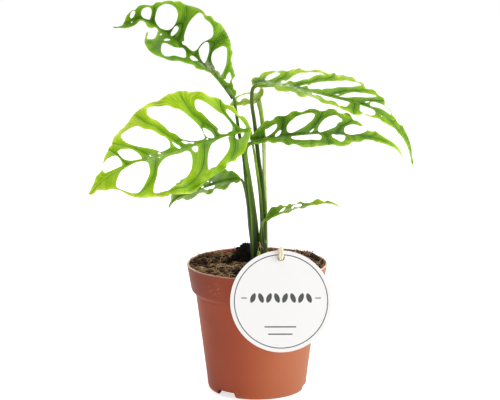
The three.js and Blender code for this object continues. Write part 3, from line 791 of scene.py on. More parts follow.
@dataclass
class LeafBlade:
    """One leaf blade: drawn flat, bent over its midrib, with grooved veins and ragged holes.

    The flat drawing runs u millimetres from the base and v to the left of the midrib. The margin,
    each hole and each vein list u and v in turn, in tenths of a millimetre. The margin goes out along
    the right half and back along the left. Each pale spot has a place, a width and a strength; a
    strength below 0 darkens the blade there as painted shade.
    """

    name: str
    slot: str
    finish: LeafFinish
    midrib: Sequence[Point]
    roll: Sequence[float]
    fold_left: Sequence[float]
    fold_right: Sequence[float]
    curl: tuple[float, float]
    wave: Wave
    tone: tuple[float, float]
    lean: tuple[float, float]
    seed: int
    margin: Sequence[float]
    holes: Sequence[Sequence[float]]
    veins: Sequence[Sequence[float]] = ()
    pale: Sequence[tuple[float, float, float, float]] = ()
    thickness: float = 0.5
    margin_step: float = 0.8
    hole_step: float = 0.7
    spacing: float = 1.5
    rib_rows: Sequence[float] = (0, 0.7, -0.7, 1.5, -1.5)
    rib_spacing: float = 1.4
    rib_half: float = 2.2
    clear: float = 0.6
    large_hole: float = 9.0
    path: SmoothPath = field(init=False)

    def __post_init__(self) -> None:
        """Lays the midrib's curve."""
        self.path = SmoothPath(self.midrib)

    def along(self, table: Sequence[float], u: np.ndarray) -> np.ndarray:
        """Reads a list of numbers that are evenly spaced from base to tip.

        Args:
            table: The list.
            u: Distances from the base.

        Returns:
            The list's number at each distance.
        """
        values = np.array(table, float)
        if len(values) == 1:
            return np.full_like(u, values[0])
        place = np.clip(u / self.path.length, 0, 1) * (len(values) - 1)
        first = np.clip(np.floor(place).astype(int), 0, len(values) - 2)
        blend = smoothstep(0, 1, place - first)
        return values[first] * (1 - blend) + values[first + 1] * blend

    def place(self, u: np.ndarray, v: np.ndarray) -> np.ndarray:
        """Bends flat points to the blade's middle surface.

        Args:
            u: Distances from the base.
            v: Distances to the left of the midrib.

        Returns:
            The points, in millimetres.
        """
        kept = np.clip(u, 0, self.path.length)
        ahead = self.path.heading(kept)
        middle = self.path.at(kept) + ahead * (u - kept)[:, None]
        side = np.cross([0.0, 0.0, 1.0], ahead)
        side /= np.linalg.norm(side, axis=1)[:, None]
        up = np.cross(ahead, side)
        roll = np.radians(self.along(self.roll, kept))[:, None]
        across = np.cos(roll) * side + np.sin(roll) * up
        lift = -np.sin(roll) * side + np.cos(roll) * up
        width = np.abs(v)
        fold = np.radians(np.where(v > 0, self.along(self.fold_left, kept), self.along(self.fold_right, kept)))
        curl = np.radians(np.where(v > 0, *self.curl))
        reach = (np.sin(fold + curl * width) - np.sin(fold)) / curl
        rise = (np.cos(fold) - np.cos(fold + curl * width)) / curl
        wave = self.wave
        turn = math.tau * u / wave.span + wave.phase
        second = math.tau * u / (0.58 * wave.span) + 2 * wave.phase
        rise = rise + wave.height * (np.sin(turn) + 0.45 * np.sin(second)) * (width / wave.half) ** 2
        return middle + across * np.where(v > 0, reach, -reach)[:, None] + lift * rise[:, None]

    def normal(self, u: np.ndarray, v: np.ndarray) -> np.ndarray:
        """Works out which way the blade's middle surface faces.

        Args:
            u: Distances from the base.
            v: Distances to the left of the midrib.

        Returns:
            A unit direction for each flat point.
        """
        along_u = self.place(u + 0.5, v) - self.place(u - 0.5, v)
        along_v = self.place(u, v + 0.6) - self.place(u, v - 0.6)
        found = np.cross(along_u, along_v)
        return found / np.linalg.norm(found, axis=1)[:, None]

    def inner_points(self, rings: Sequence[np.ndarray]) -> np.ndarray:
        """Strews flat points over the blade, in rows, clear of its edges.

        Args:
            rings: The margin and the holes.

        Returns:
            The points.
        """
        middle = np.arange(1.2, self.path.length - 1, self.rib_spacing)
        rows = [np.stack([middle, np.full_like(middle, v)], -1) for v in self.rib_rows]
        step = self.spacing
        low, high = rings[0].min(axis=0), rings[0].max(axis=0)
        for k, v in enumerate(np.arange(low[1], high[1], step * 0.866)):
            if abs(v) > self.rib_half:
                u = np.arange(low[0] + (k % 2) * step / 2, high[0], step)
                rows.append(np.stack([u, np.full_like(u, v)], -1))
        points = np.vstack(rows)
        for k, ring in enumerate(rings):
            points = points[(inside_ring(points, ring) == (k == 0)) & (ring_distance(points, ring) > self.clear)]
        return points

    def vein_distance(self, flat: np.ndarray) -> np.ndarray:
        """Measures flat points from the nearest drawn vein.

        Args:
            flat: The flat points.

        Returns:
            The distances, whose sign changes at each vein and nowhere else.
        """
        best, found, rows = np.full(len(flat), np.inf), np.zeros(len(flat)), np.arange(len(flat))
        for k, line in enumerate(self.veins):
            path = SmoothPath([(a / 10, b / 10, 0) for a, b in zip(line[::2], line[1::2])], 8).points[:, :2]
            edge = np.diff(path, axis=0)
            away = flat[:, None] - path[None, :-1]
            away = away - np.clip((away * edge).sum(-1) / (edge**2).sum(-1), 0, 1)[..., None] * edge
            size = np.linalg.norm(away, axis=-1)
            at = size.argmin(axis=1)
            cross = edge[at, 0] * away[rows, at, 1] - edge[at, 1] * away[rows, at, 0]
            side = np.where(cross > 0, 1, -1) * (1 if k % 2 else -1)
            found = np.where(size[rows, at] < best, size[rows, at] * side, found)
            best = np.minimum(best, size[rows, at])
        return found

    def vein_flow(self, flat: np.ndarray, rings: Sequence[np.ndarray], holes: np.ndarray) -> np.ndarray:
        """Works out the veins at flat points.

        A vein runs midway between two neighbouring large holes, which the signed gap tells, or where
        it is drawn.

        Args:
            flat: The flat points.
            rings: The margin and the holes.
            holes: How far each point lies from each hole.

        Returns:
            Three rows: the signed gap, the share across and the vein's strength.
        """
        v = flat[:, 1]
        gap, across, reach = np.full(len(flat), 8.0), np.zeros(len(flat)), np.zeros(len(flat))
        for side in (1, -1):
            near = [k for k, ring in enumerate(rings[1:])
                    if np.ptp(ring, axis=0).max() > self.large_hole and ring[:, 1].mean() * side > 0]
            near.sort(key=lambda k: rings[k + 1][:, 0].mean())
            if len(near) < 2:
                continue
            order = np.argsort(holes[near], axis=0)[:2]
            two = np.take_along_axis(holes[near], order, axis=0)
            here = v * side > 0
            sign = 1 - 2 * (order[0] % 2)
            gap[here] = ((two[1] - two[0]) * sign)[here]
            across[here] = ((two[1] - two[0]) / (two[1] + two[0] + 0.1) * sign)[here]
            reach[here] = (smoothstep(20, 8, two[0]) * smoothstep(0.2, 2.0, np.abs(v)))[here]
        if self.veins:
            here = v * self.veins[0][3] > 0
            away = self.vein_distance(flat)[here]
            gap[here], across[here], reach[here] = 2 * away, away / 7, smoothstep(0.2, 2.0, np.abs(v[here]))
        return np.stack([gap, across, reach])

    def build(self) -> Piece:
        """Makes the blade.

        Returns:
            The blade, which stands for its CAD node.
        """
        holes = [smooth_ring(hole, self.hole_step) for hole in self.holes]
        rings = [smooth_ring(self.margin, self.margin_step), *holes]
        flat, triangles = filled(rings, self.inner_points(rings))
        u, v = flat.T
        margin, *holes = (ring_distance(flat, ring) for ring in rings)
        holes = np.stack(holes)
        nearest = holes.min(axis=0)
        gap, across, reach = self.vein_flow(flat, rings, holes)
        # Painted highlight: lighter along the margin and round the holes.
        edge = np.maximum(0.75 * np.exp(-margin / 1.3) + 0.45 * np.exp(-margin / 6),
                          0.5 * np.exp(-nearest / 0.8))
        swell = 0.3 * np.sin(u / 7.1 + v / 9.3 + self.seed) + 0.28 * np.sin(u / 12.7 - v / 6.1 + 2 * self.seed)
        relief = (swell * smoothstep(2, 12, np.abs(v)) - 0.8 * reach * np.exp(-(gap / 5) ** 2)
                  - 0.18 * reach * np.exp(-(gap / 1.2) ** 2) - 0.5 * np.exp(-(v / 0.9) ** 2)
                  + 0.3 * np.exp(-nearest / 1.3) - 0.25 * np.exp(-margin / 1.5))
        middle, normal = self.place(u, v), self.normal(u, v)
        rib = 0.9 * np.exp(-(v / 0.9) ** 2) * (1 - u / self.path.length) + 0.2 * reach * np.exp(-(gap / 0.8) ** 2)
        thick = self.thickness * (0.45 + 0.55 * smoothstep(0, 2.5, np.minimum(margin, nearest)))
        over = middle + normal * (relief + thick / 2)[:, None]
        under = middle + normal * (relief - thick / 2 - rib)[:, None]
        count = len(flat)
        faces = [*triangles, *[(c + count, b + count, a + count) for a, b, c in triangles]]
        edges = {(one, two) for a, b, c in triangles for one, two in ((a, b), (b, c), (c, a))}
        faces += [(a + count, b + count, b, a) for a, b in sorted(edges) if (b, a) not in edges]
        piece = mesh_piece(self.name, (np.vstack([over, under]), faces), self.finish)
        tone, pale = self.tones(u, v)
        ones = np.ones(count)
        set_marks(piece, "leaf_marks", np.vstack([np.stack([tone, edge, pale, top], -1)
                                                  for top in (ones, 0 * ones)]))
        set_marks(piece, "leaf_flow", np.tile(np.stack([gap / 2, across, reach, ones], -1), (2, 1)))
        layer = piece.data.uv_layers.new(name="flat")
        corner = np.empty(len(piece.data.loops), np.int32)
        piece.data.loops.foreach_get("vertex_index", corner)
        chart = np.stack([u / 100, v / 100 + 0.5], -1)
        layer.data.foreach_set("uv", chart[corner % count].astype(np.float32).ravel())
        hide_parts(self.name)
        return piece

    def tones(self, u: np.ndarray, v: np.ndarray) -> tuple[np.ndarray, np.ndarray]:
        """Works out how light the blade is at flat points.

        Args:
            u: Distances from the base.
            v: Distances to the left of the midrib.

        Returns:
            The tones, and the strengths of the pale spots.
        """
        share = np.clip(u / self.path.length, 0, 1)
        tone = self.tone[0] * (1 - share) + self.tone[1] * share
        tone = tone + np.where(v > 0, *self.lean) * smoothstep(0, 30, np.abs(v))
        pale = np.zeros(len(u))
        for at_u, at_v, wide, strong in self.pale:
            spot = strong * np.exp(-((u - at_u) ** 2 + (1.6 * (v - at_v)) ** 2) / wide**2)
            # A spot below 0 darkens the tone there: painted shade.
            pale, tone = np.maximum(pale, spot), tone + np.minimum(spot, 0)
        return tone, pale


GREEN = LeafFinish("leaf_green", (35, 68, 3), (79, 122, 7), (114, 158, 20), (150, 184, 48), (120, 158, 46), 0.4)
BRIGHT = LeafFinish("leaf_bright_green", (65, 112, 5), (120, 164, 12), (162, 194, 30), (208, 220, 106),
                    (160, 192, 60), 0.4)
DEEP = LeafFinish("leaf_dark_green", (33, 65, 3), (77, 120, 9), (115, 158, 22), (172, 202, 72), (96, 140, 30),
                  0.46)
SHADED = LeafFinish("leaf_shaded_green", (36, 70, 2), (84, 128, 6), (120, 164, 20), (176, 200, 84),
                    (96, 140, 24), 0.5, 0.08)
PALE = LeafFinish("leaf_pale_green", (49, 84, 6), (105, 148, 20), (150, 182, 42), (191, 203, 84),
                  (160, 184, 96), 0.42)
FADED = LeafFinish("leaf_back_pale_green", (86, 112, 20), (144, 172, 44), (178, 200, 70), (214, 222, 120),
                   (206, 216, 92), 0.5, 0.1)


def leaf_blades() -> list[LeafBlade]:
    """Lists the seven leaf blades with their sizes.

    Returns:
        The blades, not yet built.
    """
    return [LeafBlade(
        "leaf_upper_left", "leaf_green", GREEN,
        midrib=[(-20, 6, 250), (-37, 9, 271), (-57, 14, 288), (-72, 19, 301), (-86, 23, 310), (-98, 26, 316),
          (-109, 28, 312), (-123, 30, 308)],
        roll=[-60, -60, -58, -55, -50], fold_left=[54, 50, 34, 30, 28], fold_right=[14],
        curl=(-0.5, -0.4), wave=Wave(0.9, 17, 34, 0.5),
        tone=(0.37, 0.48), lean=(0.0, 0.16), seed=3,
        margin=[9, -21, 11, -38, 32, -58, 46, -63, 68, -55, 91, -70, 117, -77, 134, -92, 142, -126, 150,
          -135, 218, -165, 239, -183, 255, -189, 290, -251, 311, -258, 339, -292, 416, -338, 457, -357, 503,
          -362, 579, -348, 635, -358, 661, -333, 687, -338, 746, -332, 824, -299, 861, -293, 899, -261, 943,
          -257, 975, -225, 984, -205, 1010, -178, 1022, -138, 1069, -117, 1094, -86, 1098, -93, 1108, -95,
          1173, -74, 1184, -64, 1216, -14, 1237, 0, 1257, 7, 1315, -6, 1316, -2, 1294, 25, 1262, 35, 1225,
          61, 1177, 82, 1103, 84, 1087, 73, 1063, 39, 1021, 28, 953, 61, 923, 43, 909, 14, 883, 19, 865, 48,
          845, 132, 860, 158, 890, 181, 902, 166, 927, 103, 931, 121, 913, 183, 889, 227, 875, 241, 816, 269,
          780, 276, 701, 269, 644, 238, 586, 215, 540, 160, 491, 136, 446, 105, 434, 103, 404, 119, 390, 116,
          365, 95, 342, 62, 312, 40, 284, 6, 254, 13, 172, 9, 117, 12, 41, 24, 9, 40, 10, -5],
        holes=[[1138, -27, 1145, -43, 1138, -64, 1119, -84, 1100, -86, 1093, -71, 1096, -52, 1117, -31],
          [990, -16, 991, -37, 1010, -94, 1020, -108, 1034, -110, 1053, -87, 1059, -50, 1057, -28, 1039, -8],
          [808, -28, 791, -58, 790, -112, 805, -165, 825, -197, 859, -221, 931, -219, 958, -207, 972, -183,
          984, -135, 964, -68, 947, -41, 907, -16, 871, -6, 834, -13], [706, -308, 712, -295, 717, -232, 707,
          -156, 676, -80, 643, -39, 653, -32, 650, -23, 631, -15, 608, -24, 532, -30, 519, -45, 513, -61,
          516, -133, 486, -210, 485, -225, 491, -247, 530, -285, 564, -300, 614, -307, 651, -304, 686, -315],
          [392, -15, 441, -28, 475, -50, 499, -75, 504, -134, 492, -166, 481, -170, 466, -166, 429, -126,
          407, -84, 387, -25], [754, -5, 744, -15, 738, -67, 746, -93, 764, -102, 777, -92, 776, -47, 768,
          -13], [531, 79, 562, 31, 585, 12, 606, 4, 627, 38, 665, 77, 740, 108, 752, 124, 754, 139, 736, 174,
          699, 212, 675, 219, 648, 215, 625, 200, 599, 150, 540, 104], [224, -41, 223, -50, 254, -126, 273,
          -158, 332, -233, 345, -238, 359, -233, 371, -221, 379, -202, 395, -145, 392, -123, 379, -96, 365,
          -78, 340, -61, 300, -47, 287, -37, 247, -49, 230, -39], [442, 3, 445, -2, 510, 0, 513, 7, 513, 27,
          501, 54, 470, 58, 449, 27], [196, -114, 146, -92, 140, -74, 127, -58, 129, -52, 146, -43, 181, -39,
          173, -52, 188, -71], [1145, 31, 1137, 26, 1134, 14, 1136, 1, 1145, -3, 1152, 8], [825, 73, 819, 52,
          827, 44, 833, 48, 834, 58, 830, 70], [736, 40, 744, 40, 766, 61, 770, 72, 767, 94, 758, 92, 741,
          68, 734, 52]],
        pale=[(39, 2, 4, 0.5), (33, -2.3, 5, 0.7), (24, -3.6, 4, 0.5)]
    ), LeafBlade(
        "leaf_big_left", "leaf_bright_green", BRIGHT,
        midrib=[(-6, -2, 225), (-44, -14, 218), (-76, -26, 210), (-104, -36, 202), (-126, -44, 192), (-140,
          -50, 179)],
        roll=[-62, -60, -57, -52, -45], fold_left=[28, 28, 24, 10, 0], fold_right=[14, 14, 12, 8, 4],
        curl=(-0.6, -0.3), wave=Wave(1.3, 27, 44, 0.8),
        tone=(0.22, 0.56), lean=(0.12, 0.24), seed=5,
        margin=[-10, -4, -24, -8, -13, -17, 1, -82, 25, -123, 60, -139, 68, -152, 81, -208, 120, -246, 158,
          -265, 177, -310, 199, -333, 254, -356, 303, -398, 356, -425, 390, -433, 429, -458, 493, -471, 519,
          -464, 550, -471, 643, -445, 665, -447, 697, -460, 740, -457, 804, -431, 855, -421, 908, -395, 952,
          -358, 1005, -327, 1026, -322, 1052, -302, 1093, -280, 1119, -257, 1138, -230, 1172, -211, 1194,
          -187, 1216, -171, 1280, -92, 1288, -74, 1324, -61, 1360, -57, 1416, -29, 1497, -4, 1510, -3, 1497,
          28, 1471, 37, 1435, 40, 1392, 95, 1344, 115, 1305, 142, 1276, 169, 1215, 254, 1143, 308, 1089, 334,
          996, 354, 939, 384, 883, 395, 882, 389, 802, 424, 705, 439, 626, 418, 539, 380, 347, 332, 334, 324,
          307, 292, 295, 284, 269, 274, 224, 276, 200, 254, 142, 229, 116, 206, 89, 169, -3, 21],
        holes=[[1136, -29, 1146, -22, 1179, -20, 1265, -27, 1291, -36, 1294, -58, 1255, -114, 1250, -113,
          1220, -125, 1168, -126, 1152, -121, 1142, -110, 1132, -66], [968, -14, 975, -56, 992, -89, 1016,
          -121, 1045, -136, 1096, -150, 1122, -146, 1123, -137, 1106, -70, 1055, -30, 1004, -18], [1032,
          -272, 1043, -253, 1036, -211, 1021, -185, 969, -132, 822, -42, 799, -20, 730, -24, 706, -37, 698,
          -61, 698, -86, 717, -126, 745, -147, 807, -214, 865, -247, 887, -274, 907, -289, 973, -290, 1007,
          -283], [157, -28, 145, -52, 144, -75, 192, -173, 229, -209, 313, -310, 360, -351, 379, -351, 389,
          -335, 396, -303, 394, -273, 383, -251, 367, -239, 316, -140, 270, -75, 269, -63, 275, -53, 270,
          -36, 257, -22, 215, -13, 198, -14, 184, -24], [774, -400, 789, -364, 789, -344, 783, -333, 769,
          -312, 738, -292, 725, -276, 689, -217, 663, -158, 622, -122, 588, -70, 528, -35, 493, -21, 426,
          -14, 400, -19, 395, -28, 398, -77, 412, -124, 499, -277, 531, -315, 558, -328, 595, -364, 617,
          -376, 653, -386, 711, -415, 743, -416], [496, -10, 508, -3, 543, -17, 566, -16, 586, -31, 596, -50,
          570, -45, 540, -26], [798, -7, 806, -3, 818, -8, 822, -17, 813, -18, 805, -14], [1280, 137, 1188,
          238, 1146, 258, 1116, 259, 1047, 219, 983, 169, 962, 145, 942, 89, 938, 67, 940, 37, 954, 23, 995,
          2, 1047, 0, 1152, 18, 1188, 35, 1262, 97, 1281, 120], [997, 314, 989, 323, 975, 330, 875, 351, 844,
          343, 758, 334, 725, 307, 679, 282, 645, 256, 620, 225, 592, 172, 576, 124, 573, 82, 582, 62, 595,
          56, 657, 61, 718, 51, 768, 55, 810, 71, 847, 99, 879, 131, 911, 191, 981, 278, 996, 304], [486,
          305, 475, 308, 455, 306, 420, 293, 318, 226, 260, 175, 221, 114, 208, 36, 205, 29, 193, 22, 194,
          14, 284, 27, 349, 53, 367, 65, 389, 89, 444, 176, 488, 274, 491, 291], [318, -4, 315, -16, 341,
          -67, 382, -105, 389, -106, 390, -65, 376, -25, 361, -13, 332, -4], [527, 99, 509, 94, 496, 76, 488,
          49, 495, 34, 529, 35, 538, 43, 539, 81], [625, 7, 621, -5, 642, -37, 672, -68, 675, -62, 655, -16,
          635, 5], [375, -1, 371, -6, 372, -15, 380, -15, 386, -10, 384, -3], [887, -5, 885, -11, 888, -18,
          895, -21, 896, -15, 893, -8], [830, 37, 826, 38, 820, 33, 823, 27, 828, 26, 833, 31], [58, 9, 68,
          37, 91, 60, 128, 80, 135, 74, 144, 51, 142, 31, 127, 12, 79, 4], [29, -25, 48, -22, 83, -42, 141,
          -139, 163, -200, 151, -217, 123, -194, 56, -98, 38, -63, 30, -42]],
        veins=[[145, 26, 195, 172, 282, 276, 398, 338, 548, 379, 716, 406], [426, 48, 494, 201, 588, 304,
          719, 365, 860, 360], [869, 50, 931, 165, 1019, 232, 1120, 266]],
        pale=[(88, 0.5, 6, 0.3), (80, 1, 4, 0.4)]
    ), LeafBlade(
        "leaf_middle_right", "leaf_dark_green", DEEP,
        midrib=[(-6, 4, 216), (4, 3, 217), (20, 1, 219), (44, -2, 222), (61, -5, 223), (78, -8, 222), (95,
          -10, 220), (109, -12, 215), (122, -14, 203)],
        roll=[22], fold_left=[42, 26, 12, 12, 12], fold_right=[12],
        curl=(-0.4, -0.4), wave=Wave(1.1, 14.2, 30, 0.4),
        tone=(0.37, 0.62), lean=(0.12, 0.08), seed=7,
        margin=[1, -4, 26, -56, 60, -110, 80, -115, 109, -99, 138, -99, 157, -84, 202, -129, 224, -129, 246,
          -114, 287, -136, 325, -204, 340, -216, 351, -212, 368, -185, 379, -183, 401, -195, 446, -251, 491,
          -266, 541, -253, 589, -286, 637, -252, 664, -245, 695, -221, 712, -221, 763, -240, 798, -228, 828,
          -228, 846, -221, 866, -196, 887, -137, 902, -130, 926, -134, 939, -128, 967, -103, 983, -75, 1018,
          -56, 1052, -48, 1089, -58, 1110, -45, 1127, -43, 1163, -27, 1220, 8, 1263, 18, 1322, 17, 1333, 12,
          1340, 12, 1326, 29, 1285, 53, 1214, 59, 1155, 54, 1076, 81, 1052, 95, 1021, 76, 997, 80, 954, 121,
          933, 166, 911, 177, 898, 192, 869, 199, 850, 214, 801, 304, 790, 308, 781, 305, 754, 260, 738, 257,
          717, 278, 688, 339, 662, 361, 645, 367, 631, 357, 615, 310, 592, 281, 571, 286, 543, 330, 530, 334,
          441, 241, 424, 242, 397, 271, 379, 276, 362, 264, 325, 215, 247, 223, 221, 214, 204, 183, 185, 164,
          171, 159, 150, 167, 128, 158, 82, 108, 50, 70, 22, 40, 0, 20],
        holes=[[331, 30, 363, 23, 388, 32, 455, 69, 484, 97, 525, 164, 537, 226, 533, 245, 520, 252, 513,
          250, 429, 198, 398, 188, 381, 174, 331, 113, 320, 93, 318, 56], [593, 9, 622, 12, 690, 53, 717, 82,
          735, 134, 758, 151, 760, 166, 756, 181, 734, 200, 703, 239, 667, 232, 641, 213, 610, 159, 585, 91,
          579, 62, 580, 27], [134, 13, 143, 11, 159, 17, 186, 35, 213, 62, 231, 94, 233, 114, 229, 126, 219,
          125, 157, 83, 134, 77, 130, 37], [510, 15, 524, 17, 537, 30, 544, 43, 542, 57, 538, 57, 515, 35,
          507, 22], [217, 3, 240, 8, 254, 22, 269, 54, 265, 67, 253, 61, 216, 17], [357, -58, 371, -87, 432,
          -131, 490, -151, 539, -147, 587, -174, 607, -174, 621, -165, 628, -126, 619, -85, 602, -54, 575,
          -29, 526, -37, 438, -28, 405, -32, 368, -28, 359, -38], [806, -153, 818, -137, 824, -100, 821, -60,
          814, -44, 804, -32, 795, -29, 768, -33, 744, -45, 721, -35, 712, -36, 706, -47, 707, -64, 727,
          -112, 742, -126, 799, -154], [804, 18, 816, 8, 828, 5, 853, 2, 890, 7, 944, 27, 980, 60, 988, 74,
          948, 118, 921, 118, 895, 127, 841, 122, 813, 105, 798, 86, 796, 59]],
        # The spot below 0 is painted shade at the blade's base.
        pale=[(4, 0, 9, -0.2), (28, -4, 4, 0.2)]
    ), LeafBlade(
        "leaf_upper_right", "leaf_pale_green", PALE,
        midrib=[(-1, 14, 262), (15, 16, 261), (37, 20, 257), (64, 26, 249), (88, 31, 242), (106, 34, 234),
          (122, 37, 217), (136, 40, 186)],
        roll=[22, 28, 34, 34, 30], fold_left=[14], fold_right=[8],
        curl=(-0.4, -0.4), wave=Wave(1.1, 14, 25, 1.1),
        tone=(0.42, 0.24), lean=(0.24, 0.22), seed=11,
        margin=[-21, -48, 18, -66, 65, -64, 144, -49, 153, -65, 162, -101, 177, -113, 216, -108, 250, -111,
          288, -94, 329, -104, 347, -134, 387, -146, 411, -140, 432, -113, 447, -104, 513, -103, 532, -109,
          562, -147, 607, -133, 670, -121, 692, -125, 716, -140, 733, -136, 747, -145, 803, -155, 835, -173,
          866, -176, 927, -154, 958, -128, 994, -134, 1061, -129, 1107, -109, 1135, -117, 1205, -104, 1230,
          -93, 1317, -26, 1402, 5, 1509, 23, 1585, 23, 1664, -3, 1677, -21, 1705, -20, 1690, 17, 1653, 36,
          1632, 41, 1589, 67, 1553, 76, 1492, 89, 1396, 89, 1366, 99, 1343, 77, 1302, 71, 1271, 81, 1246, 80,
          1202, 112, 1148, 107, 1142, 147, 1119, 176, 1098, 177, 1077, 185, 1039, 215, 994, 194, 970, 191,
          954, 232, 929, 269, 902, 247, 885, 244, 881, 255, 860, 272, 805, 277, 792, 303, 778, 307, 762, 300,
          736, 267, 720, 256, 697, 290, 683, 299, 668, 288, 651, 285, 608, 297, 565, 269, 553, 272, 532, 290,
          518, 294, 469, 243, 412, 228, 390, 248, 366, 252, 292, 194, 256, 196, 224, 191, 208, 184, 184, 162,
          170, 165, 127, 157, 97, 159, 55, 125, 28, 83, 1, 82, -24, 66, -37, 39, -32, 7],
        holes=[[219, 28, 229, 21, 255, 29, 284, 60, 302, 68, 312, 68, 322, 58, 331, 60, 428, 121, 463, 135,
          500, 182, 520, 200, 560, 213, 591, 230, 606, 242, 607, 251, 593, 253, 571, 238, 558, 235, 522, 252,
          510, 251, 466, 215, 410, 189, 383, 184, 363, 173, 280, 74, 258, 57, 240, 61, 223, 51, 217, 37],
          [382, 20, 396, 19, 450, 49, 455, 45, 454, 24, 463, 17, 480, 19, 546, 44, 579, 44, 607, 64, 682, 91,
          768, 138, 817, 146, 875, 167, 919, 208, 936, 217, 939, 223, 931, 236, 923, 241, 910, 239, 891, 224,
          872, 218, 775, 220, 721, 186, 662, 179, 627, 164, 578, 135, 516, 108, 495, 95, 463, 60, 451, 65,
          387, 27], [834, -26, 829, -19, 807, -16, 665, -13, 501, -29, 485, -36, 480, -47, 486, -63, 505,
          -67, 533, -51, 553, -53, 570, -61, 596, -90, 623, -88, 655, -73, 674, -70, 701, -83, 720, -117,
          726, -119, 756, -106, 783, -105, 799, -97, 815, -72], [1067, 146, 1062, 150, 978, 128, 926, 122,
          824, 81, 756, 31, 736, 22, 799, 25, 934, 77, 977, 87, 1055, 131], [703, 34, 716, 32, 732, 33, 743,
          44, 731, 47, 717, 42], [96, -15, 97, -4, 69, 16, 57, 13, 56, 6, 70, -1, 78, -24], [312, -15, 315,
          -9, 316, 2, 309, 7, 305, 0, 306, -10], [1020, 62, 1015, 67, 1006, 64, 984, 51, 980, 41, 986, 37,
          993, 39], [1144, -59, 1151, -52, 1155, -43, 1152, -34, 1144, -40, 1140, -49], [83, 42, 95, 83, 123,
          112, 153, 128, 187, 156, 200, 157, 215, 150, 213, 134, 149, 68, 102, 42], [1058, -9, 1075, -34,
          1081, -53, 1078, -75, 1071, -89, 1035, -117, 995, -121, 955, -131, 958, -123, 955, -114, 936, -103,
          931, -92, 930, -44, 937, -13, 943, -9, 997, -9, 1042, -4], [1228, 77, 1222, 58, 1204, 51, 1130, 41,
          1044, 16, 1029, 18, 1023, 25, 1029, 57, 1053, 75, 1143, 94, 1196, 99, 1220, 86]],
        # The spots below 0 are painted shade at the base and towards the tip.
        pale=[(2, 3, 8, -0.5), (12, 0.5, 3.2, 1), (20, 0, 4.5, 1), (27, 0.5, 3.5, 0.8), (33, -0.2, 4, 0.6),
          (36, -4, 6, 0.6), (48, -7, 9, 0.5), (148, 5, 24, -0.1)]
    ), LeafBlade(
        "leaf_lower_left", "leaf_dark_green", SHADED,
        midrib=[(-14, 9, 181), (-21, 15, 179), (-34, 26, 174), (-46, 37, 168), (-58, 47, 161), (-68, 54,
          156), (-75, 58, 150), (-80, 60, 143)],
        roll=[-40], fold_left=[12], fold_right=[6],
        curl=(-0.4, -0.4), wave=Wave(0.5, 13, 18, 0.2),
        tone=(0.48, 0.56), lean=(0.05, 0.05), seed=13,
        margin=[-8, 5, 157, -113, 181, -113, 208, -125, 248, -155, 483, -243, 533, -231, 623, -251, 674,
          -225, 738, -252, 758, -231, 768, -233, 776, -198, 794, -216, 806, -208, 809, -189, 824, -198, 834,
          -192, 850, -170, 845, -101, 851, -85, 853, -40, 868, -24, 901, -7, 909, 5, 920, -1, 925, 0, 895,
          30, 875, 35, 855, 36, 818, 26, 774, 31, 735, 48, 701, 45, 681, 50, 619, 95, 543, 127, 526, 129,
          500, 116, 478, 116, 462, 92, 425, 95, 373, 105, 312, 148, 288, 157, 259, 152, 250, 144, 243, 129,
          250, 94, 225, 88, 173, 116, 148, 118, 122, 131, 93, 124, 79, 99, 83, 60, 79, 49, 66, 41, 46, 43,
          11, 61, -9, 51, -13, 24],
        holes=[[420, 26, 393, 54, 344, 78, 326, 81, 314, 76, 275, 85, 266, 82, 263, 75, 266, 53, 287, 32],
          [455, -1, 451, -10, 458, -16, 473, -20, 482, -15, 471, -3], [402, -44, 413, -46, 425, -54, 433,
          -66, 419, -64, 406, -56], [341, -21, 355, -22, 368, -29, 378, -39, 364, -38, 350, -32], [509, 21,
          531, 22, 549, 9, 567, -3, 546, -2, 526, 7], [449, -9, 459, 0, 472, -4, 485, -11, 475, -16, 460,
          -17]],
        pale=[(24, 3.8, 4, 0.3), (16, 4.5, 4, 0.4)]
    ), LeafBlade(
        "leaf_lower_right", "leaf_green", PALE,
        midrib=[(8, -4, 149), (18, -3, 153), (29, 0, 156), (43, 3, 160), (54, 5, 161), (64, 7, 161), (71, 8,
          156)],
        roll=[18], fold_left=[6], fold_right=[5],
        curl=(-0.3, -0.3), wave=Wave(0.35, 9, 11, 0.0),
        tone=(0.34, 0.72), lean=(0.0, 0.0), seed=17,
        margin=[-8, -6, -2, -46, 51, -22, 150, -12, 182, -38, 206, -33, 230, -15, 285, -15, 308, -39, 334,
          -48, 366, -30, 413, -29, 430, -24, 445, -37, 457, -39, 494, -19, 588, -39, 612, -34, 630, -20, 655,
          -12, 663, -3, 670, 7, 655, 15, 594, 11, 567, 18, 555, 26, 537, 14, 525, 13, 510, 21, 494, 54, 469,
          65, 417, 25, 382, 21, 355, 32, 340, 67, 331, 74, 285, 53, 261, 65, 243, 91, 232, 86, 220, 70, 208,
          67, 186, 79, 178, 100, 170, 108, 123, 96, 85, 127, 69, 121, 41, 89, -2, 19],
        holes=[[122, 8, 132, 14, 153, 10, 179, 29, 196, 52, 160, 42, 122, 14], [330, 20, 326, 9, 296, -2,
          270, 14, 257, 15, 238, 5, 234, 11, 241, 28, 256, 38, 273, 42, 317, 34]],
        pale=[(19, -0.6, 5, 0.7), (27, -1, 5, 0.9), (32, -2, 4, 0.7)]
    ), LeafBlade(
        "leaf_back", "leaf_pale_green", FADED,
        midrib=[(1, 17, 248), (-3, 21, 246), (-7, 26, 244), (-11, 31, 243), (-15, 36, 241), (-20, 40, 240),
          (-23, 43, 238)],
        roll=[-50], fold_left=[4], fold_right=[4],
        curl=(-0.3, -0.3), wave=Wave(0.3, 11, 12, 0.6),
        tone=(0.5, 0.5), lean=(0.0, 0.0), seed=19,
        margin=[-3, 8, -46, -28, -43, -56, -28, -96, -3, -120, 19, -118, 24, -87, 56, -84, 109, -97, 239,
